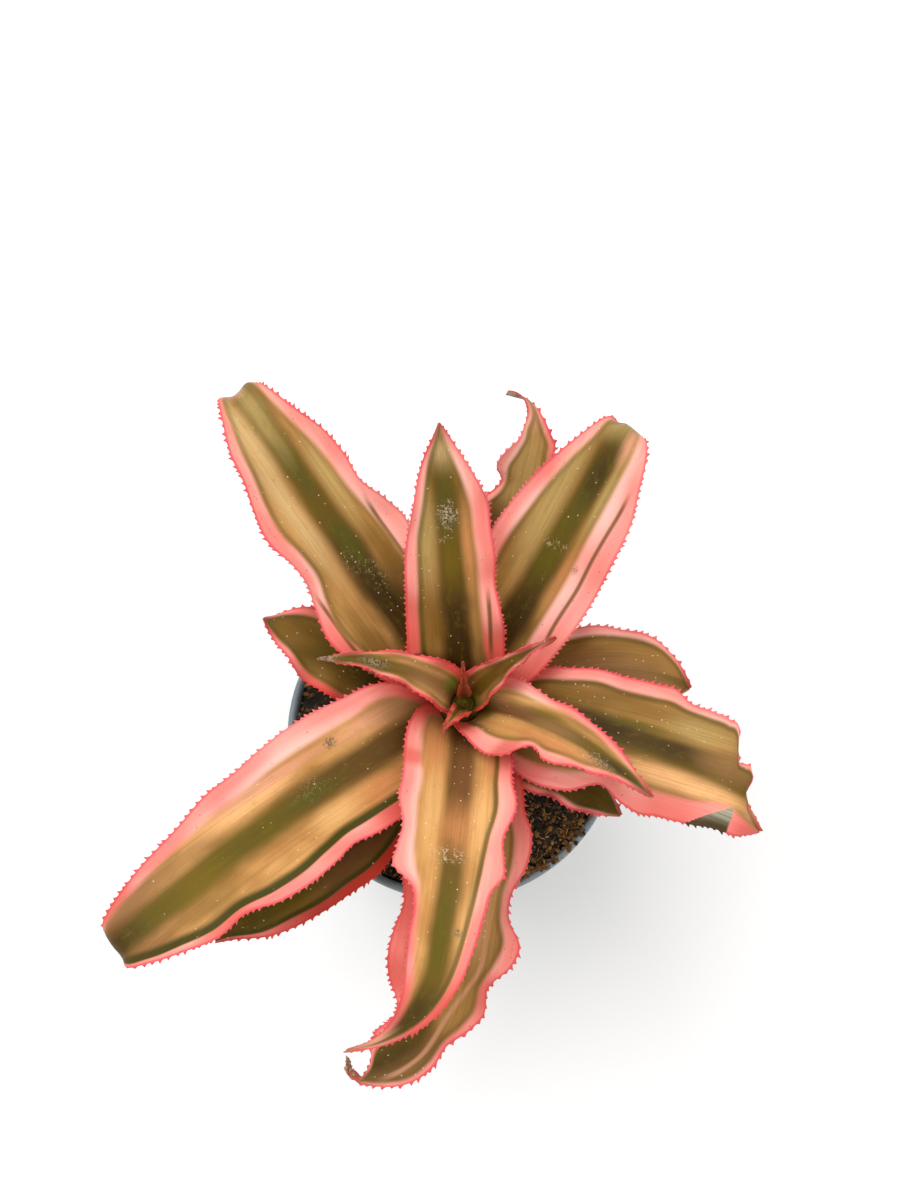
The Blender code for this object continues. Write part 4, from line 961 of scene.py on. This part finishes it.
def blade_colour(skin, leaf, facts, cloud, veins, mottle):
    """The blade inside its margin: a dark middle band, tan sides, then patches of markings and of painted
    light and shade.
    """
    along, beyond, line = facts["along"], facts["beyond"], facts["line"]
    tone, length, width = leaf["tone"], leaf["length"] / MM, leaf["line_width"]
    wander = skin.minus(cloud, 0.5)
    # Tan in a lit and a shaded copy, mixed in soft patches: painted light and shade on the tan sides.
    light = skin.mix(tone, srgb(136, 100, 40), srgb(232, 172, 104))
    shaded = skin.mix(tone, srgb(102, 72, 22), srgb(202, 142, 78))
    tan = skin.mix(skin.fade(cloud, 0.34, 0.66), shaded, light)
    tan = skin.mix(skin.times(skin.fall(beyond, 0.2, 2.4, 0.5), line), tan, srgb(112, 84, 30))
    low = skin.mix(tone, srgb(50, 33, 4), srgb(102, 72, 30))
    high = skin.mix(tone, srgb(84, 64, 8), srgb(112, 88, 24))
    dark = skin.mix(skin.fade(along, 0.2 * length, 0.6 * length), low, high)
    share = skin.plus(facts["middle"], skin.times(wander, 0.5))
    share = skin.plus(share, skin.times(skin.minus(veins, 0.5), 0.35))
    colour = skin.mix(skin.fade(share, 0.45, 1.5), dark, tan)
    # Painted shade: the blade turns dark brown towards the stem, where the leaves above shade its base.
    colour = skin.mix(skin.fall(along, 0.02 * length, 0.22 * length, 0.55), colour, srgb(58, 28, 4))
    for kind, *place in leaf["patches"]:
        patch = oval(skin, facts, wander, *place)
        colour = skin.mix(skin.times(patch, PATCH_STRENGTH), colour, PATCH_COLOURS[kind])
    if leaf["streak"]:
        colour = skin.mix(streak_share(skin, leaf, facts, wander), colour, srgb(222, 158, 124))
    edge_line = skin.times(skin.fade(beyond, -0.1, 0.1), skin.fall(beyond, 0.5 * width, 1.2 * width))
    colour = skin.mix(skin.times(edge_line, line), colour, srgb(66, 60, 8))
    colour = skin.mix(skin.fade(veins, 0.4, 0.7, 0.0, 0.22), colour, srgb(96, 66, 24))
    mottle = skin.times(skin.fade(mottle, 0.5, 0.72), skin.fade(share, 0.5, 2.2, 0.35, 0.15))
    colour = skin.mix(mottle, colour, srgb(112, 100, 14))
    return skin.mix(skin.fade(along, 0.88 * length, length, 0.0, 0.4), colour, srgb(92, 64, 28))


# Tints for the margin: the pale pink is painted light over the margin's own paler pink; the two darker reds
# are painted shade.
MARGIN_TINTS = {"pale": srgb(255, 200, 186), "coral_shade": srgb(208, 78, 68), "shadow_red": srgb(140, 28, 14)}


def margin_colour(skin, leaf, facts, veins, margin_cloud):
    """The pink margin: paler inwards, coral at its edge and its spines, red near the stem partly as painted
    shade, and tints of painted light and shade.
    """
    along, across, inward = facts["along"], facts["across"], facts["inward"]
    length = leaf["length"] / MM
    # Pink in a base and a lit copy, mixed in soft patches: partly the margin's own mottling, partly painted
    # light.
    pink = skin.mix(skin.fade(margin_cloud, 0.36, 0.64), srgb(246, 132, 122), srgb(252, 154, 142))
    depth = skin.fade(skin.math("DIVIDE", inward, facts["rim"]), 0.3, 1.0)
    pink = skin.mix(skin.times(depth, skin.fade(margin_cloud, 0.40, 0.60, 0.1, 0.6)), pink, srgb(253, 186, 166))
    pink = skin.mix(skin.fade(veins, 0.42, 0.66, 0.0, 0.2), pink, srgb(228, 108, 102))
    pink = skin.mix(skin.fall(inward, 0.0, 0.5, 0.9), pink, srgb(226, 80, 90))
    on_left = skin.fade(across, -0.5, 0.5)
    # The listed tints: the pale one lays painted light where the margin turns up to the lamp, over its own
    # paler pink; the darker reds are painted shade at folds, on margins facing down and under the leaves
    # above.
    for kind, side, at, reach in leaf["tints"]:
        near = skin.fall(skin.gap(along, at), 0.2 * reach, reach, 0.6)
        there = on_left if side > 0 else skin.minus(1.0, on_left)
        if kind == "pale":
            there = skin.times(there, skin.plus(depth, 0.25))
        pink = skin.mix(skin.times(near, there), pink, MARGIN_TINTS[kind])
    # Redder towards the stem: partly the margin's own red, partly painted shade near the heart and on low,
    # shaded leaves.
    left_red, right_red = (skin.fall(along, 0.1 * reach, reach, 0.85) for reach in leaf["red_to"])
    pink = skin.mix(skin.mix(on_left, right_red, left_red), pink, srgb(208, 58, 40))
    pink = skin.mix(skin.fade(along, 0.86 * length, length, 0.0, 0.4), pink, srgb(190, 80, 74))
    # Stripes: a thin olive line in the margin, partly painted shadow in the channel where the margin folds,
    # partly a dark line of the leaf's own.
    for at, start, end in leaf["stripes"]:
        apart = skin.gap(skin.plus(across, skin.times(margin_cloud, 0.8)), at)
        stripe = skin.times(skin.fall(apart, 0.1, 0.6, 0.9), window(skin, along, start, end, 5))
        pink = skin.mix(stripe, pink, srgb(108, 76, 32))
    return pink


def folded(skin, leaf, facts, veins, grain, colour):
    """The right margin folded over: its silvery underside shows in a wedge that opens along the leaf."""
    start, end, depth = leaf["turned"]
    reach = skin.times(skin.minus(facts["along"], start), depth / (end - start))
    reach = skin.plus(reach, skin.minus(grain, 0.5))
    share = skin.fall(skin.minus(facts["inward"], reach), -0.2, 0.0)
    share = skin.times(share, skin.fall(facts["along"], end - 0.2, end + 0.2))
    share = skin.times(share, skin.fall(facts["across"], -4.5, -4.0))
    silver = skin.mix(skin.fade(veins, 0.35, 0.65), srgb(136, 130, 106), srgb(172, 168, 146))
    lit = skin.times(skin.fade(facts["inward"], 0.1 * depth, 0.7 * depth),
                     skin.fade(facts["along"], start, 0.5 * (start + end), 0.3, 1.0))
    return skin.mix(share, colour, skin.mix(lit, srgb(70, 54, 30), silver))


def scuffed(skin, leaf, facts, flat, grain, colour):
    """Dry scratches and crusted stains where the leaf was rubbed or splashed."""
    contour = skin.gap(blade_noise(skin, flat, 0.8, 0.8, 2.0, 0.6), 0.5)
    broken = skin.fade(blade_noise(skin, flat, 1.1, 1.1, 2.0), 0.42, 0.52)
    scratch = skin.times(skin.fall(contour, 0.008, 0.028), broken)
    uneven = skin.times(skin.minus(grain, 0.5), 2.4)
    for kind, *place, strength in leaf["scuffs"]:
        there = oval(skin, facts, uneven, *place)
        if kind == "scratch":
            there = skin.times(skin.fade(there, 0.0, 0.5), scratch)
            mark = srgb(206, 184, 146)
        else:
            mark = skin.mix(skin.fade(grain, 0.42, 0.6), srgb(78, 62, 38), srgb(156, 140, 108))
        colour = skin.mix(skin.times(there, strength), colour, mark)
    return colour


def dried(skin, leaf, facts, grain, colour):
    """The withered point, grey-brown with a ragged border."""
    start = leaf["length"] / MM * (1 - leaf["dry_tip"])
    ragged = skin.plus(facts["along"], skin.times(skin.minus(grain, 0.5), 4.0))
    dry = skin.mix(skin.fade(grain, 0.42, 0.6), srgb(96, 78, 60), srgb(176, 150, 124))
    return skin.mix(skin.fade(ragged, start, start + 1.5, 0.0, 0.85), colour, dry)


def dusted(skin, facts, flat, colour):
    """Round specks: cream dust on the blade, and small red-brown ones on the margin."""
    cells = skin.add("ShaderNodeTexVoronoi", {"Vector": flat, "Scale": 0.75}, voronoi_dimensions="2D")
    chance = skin.add("ShaderNodeSeparateColor", {0: cells.outputs["Color"]}).outputs
    dusty = skin.fade(blade_noise(skin, flat, 0.14, 0.10, 1.0), 0.46, 0.60, 0.0, 0.20)
    chosen = skin.fade(skin.plus(chance[0], dusty), 0.965, 0.975)
    radius = skin.plus(skin.times(chance[1], 0.09), 0.05)
    speck = skin.times(skin.fall(cells.outputs["Distance"], 0.02, radius, 0.85), chosen)
    dust = skin.mix(skin.fall(facts["beyond"], -0.5, 0.0), srgb(244, 222, 176), srgb(150, 60, 44))
    return skin.mix(speck, colour, dust)


def leaf_top(name, leaf, number):
    """Satin skin: the blade's colours and its pink margin, then scuffs, a dry point and dust."""
    skin = Nodes(name)
    facts, flat = leaf_places(skin, number)
    cloud = blade_noise(skin, flat, 0.20, 0.08, 2.0)
    margin_cloud = blade_noise(skin, flat, 0.12, 0.07, 1.0)
    veins = blade_noise(skin, flat, 2.6, 0.035, 3.0, 0.6)
    grain = blade_noise(skin, flat, 2.4, 2.4, 3.0, 0.6)
    mottle = blade_noise(skin, flat, 0.9, 0.35, 4.0, 0.7)
    colour = blade_colour(skin, leaf, facts, cloud, veins, mottle)
    pink = margin_colour(skin, leaf, facts, veins, margin_cloud)
    start = skin.minus(skin.times(facts["line"], 0.6), 0.9)
    end = skin.minus(0.6, skin.times(facts["line"], 0.45))
    colour = skin.mix(skin.fall(facts["beyond"], start, end), colour, pink)
    if leaf["turned"]:
        colour = folded(skin, leaf, facts, veins, grain, colour)
    if leaf["scuffs"]:
        colour = scuffed(skin, leaf, facts, flat, grain, colour)
    if leaf["flush"]:
        colour = skin.mix(leaf["flush"], colour, srgb(132, 56, 36))
    if leaf["dry_tip"]:
        colour = dried(skin, leaf, facts, grain, colour)
    skin.shader.inputs["Specular IOR Level"].default_value = BLADE_SPECULAR
    satin = skin.fade(veins, 0.3, 0.7, 0.40, 0.54)
    return skin.finish(dusted(skin, facts, flat, colour), satin, veins, 0.4, 0.0003)


def leaf_underside(name, number):
    """Silvery scurf over dull green-brown, with the pink margin showing at the edge."""
    skin = Nodes(name)
    facts, flat = leaf_places(skin, number)
    scurf = blade_noise(skin, flat, 2.0, 1.2, 4.0, 0.7)
    ribs = blade_noise(skin, flat, 3.2, 0.06, 3.0, 0.6)
    colour = skin.mix(skin.fade(ribs, 0.35, 0.65), srgb(92, 92, 66), srgb(128, 120, 92))
    colour = skin.mix(skin.fade(scurf, 0.35, 0.62, 0.0, 0.75), colour, srgb(166, 162, 144))
    colour = skin.mix(skin.fall(facts["beyond"], -0.8, 0.0, 0.85), colour, srgb(214, 100, 96))
    return skin.finish(colour, 0.62, scurf, 0.4, 0.0002)


def blade_sheet(name, leaf, number):
    """A fine grid bent to the leaf's shape, then thickened: full at the midrib, thin at the spines."""
    rows = max(60, round(leaf["length"] / ROW_LENGTH))
    blade = primitive(name, bpy.ops.mesh.primitive_grid_add, x_subdivisions=rows,
                      y_subdivisions=COLUMNS + 2, size=2)
    points, facts = blade_arrays(leaf, rows, np.random.default_rng(number))
    grid = np.empty(3 * len(blade.data.vertices))
    blade.data.vertices.foreach_get("co", grid)
    grid = grid.reshape(-1, 3)
    row = np.rint((grid[:, 0] + 1) / 2 * rows).astype(int)
    column = np.rint((grid[:, 1] + 1) / 2 * (COLUMNS + 2)).astype(int)
    blade.data.vertices.foreach_set("co", points[row, column].ravel())
    blade.data.update()
    for label, values in facts.items():
        blade.data.attributes.new(label, "FLOAT", "POINT").data.foreach_set("value", values[row, column])
    inward = facts["inward"] * MM
    share = np.clip((inward + 0.0003) / FULL_THICKNESS_AT, EDGE_THICKNESS, 1.0) ** 0.6
    thick = blade.vertex_groups.new(name="thick")
    for index, value in enumerate(share[row, column]):
        thick.add([index], value, "REPLACE")
    solidify = blade.modifiers.new("thickness", "SOLIDIFY")
    solidify.thickness = LEAF_THICKNESS
    solidify.offset = 0.0
    solidify.vertex_group = "thick"
    solidify.material_offset = 1
    blade.data.materials.append(leaf_top(name + "_top", leaf, number))
    blade.data.materials.append(leaf_underside(name + "_underside", number))
    apply_modifiers(blade)
    blade.vertex_groups.clear()
    blade.data.shade_smooth()
    return blade


for number, (name, shape) in enumerate(LEAVES.items(), start=1):
    leaf = {**PLAIN_LEAF, "level": len(LEAVES) - number, **shape}
    blade = blade_sheet(name + "_blade", leaf, number)
    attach(blade, "root")
    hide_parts(name)

# ---------------------------------------------------------------- Studio
# A plain pale floor and soft daylight from above and behind the left shoulder, with the camera looking down
# almost along the pot's axis. Far from the pot the floor shines white to the eye, and lights nothing.

FLOOR_SIZE = 6.0
FLOOR_WHITE_FROM = 0.4
FLOOR_WHITE_AT = 1.2
SKY_LIGHT = 0.80
LIGHT_SIZE = 1.8
LIGHTS = {"window": ((-0.7, 0.6, 1.6), 22.0), "fill": ((1.2, -0.6, 1.2), 6.0)}
PLANT_MIDDLE = Vector((0, 0, 0.06))
CAMERA_PLACE = (-0.00054, -0.05892, 0.38772)
CAMERA_TILT = 14.0
CAMERA_LENS = 56.4


def seen_rays(tree):
    """1 for what is looked at, also by way of gloss or glass, and 0 for light on its way to the plant."""
    rays = tree.nodes.new("ShaderNodeLightPath")
    seen = rays.outputs["Is Camera Ray"]
    for kind_of_ray in ("Is Glossy Ray", "Is Transmission Ray"):
        either = tree.nodes.new("ShaderNodeMath")
        either.operation = "MAXIMUM"
        tree.links.new(seen, either.inputs[0])
        tree.links.new(rays.outputs[kind_of_ray], either.inputs[1])
        seen = either.outputs[0]
    return seen


floor = primitive("studio_floor", bpy.ops.mesh.primitive_plane_add, size=FLOOR_SIZE, location=(0, 0, 0))
floor_paint = Nodes("floor_paint")
from_pot = floor_paint.add("ShaderNodeVectorMath", {0: floor_paint.place()}, operation="LENGTH")
far = floor_paint.fade(from_pot.outputs["Value"], FLOOR_WHITE_FROM, FLOOR_WHITE_AT)
white = floor_paint.times(far, seen_rays(floor_paint.tree))
floor_paint.shader.inputs["Emission Color"].default_value = (1.0, 1.0, 1.0, 1.0)
floor_paint.put(floor_paint.shader.inputs["Emission Strength"], white)
floor.data.materials.append(floor_paint.finish(srgb(250, 250, 250), 0.9))

world = bpy.data.worlds.new("daylight")
bpy.context.scene.world = world
world.use_nodes = True
sky = world.node_tree.nodes["Background"]
sky.inputs["Color"].default_value = (1.0, 0.99, 0.97, 1.0)
strength = world.node_tree.nodes.new("ShaderNodeMapRange")
strength.inputs["To Min"].default_value = SKY_LIGHT
strength.inputs["To Max"].default_value = 1.0
world.node_tree.links.new(seen_rays(world.node_tree), strength.inputs["Value"])
world.node_tree.links.new(strength.outputs["Result"], sky.inputs["Strength"])

for label, (place, power) in LIGHTS.items():
    lamp = bpy.data.lights.new(label, "AREA")
    lamp.shape = "SQUARE"
    lamp.size = LIGHT_SIZE
    lamp.energy = power
    lamp_object = new_object(label, lamp)
    lamp_object.location = place
    lamp_object.rotation_euler = (PLANT_MIDDLE - Vector(place)).to_track_quat("-Z", "Y").to_euler()

camera_data = bpy.data.cameras.new("camera")
camera_data.lens = CAMERA_LENS
camera_data.sensor_width = 36.0
camera_data.clip_start = 0.01
camera = new_object("camera", camera_data)
camera.location = CAMERA_PLACE
camera.rotation_euler = (math.radians(CAMERA_TILT), 0, 0)
bpy.context.scene.camera = camera
bpy.context.scene.view_settings.view_transform = "Standard"
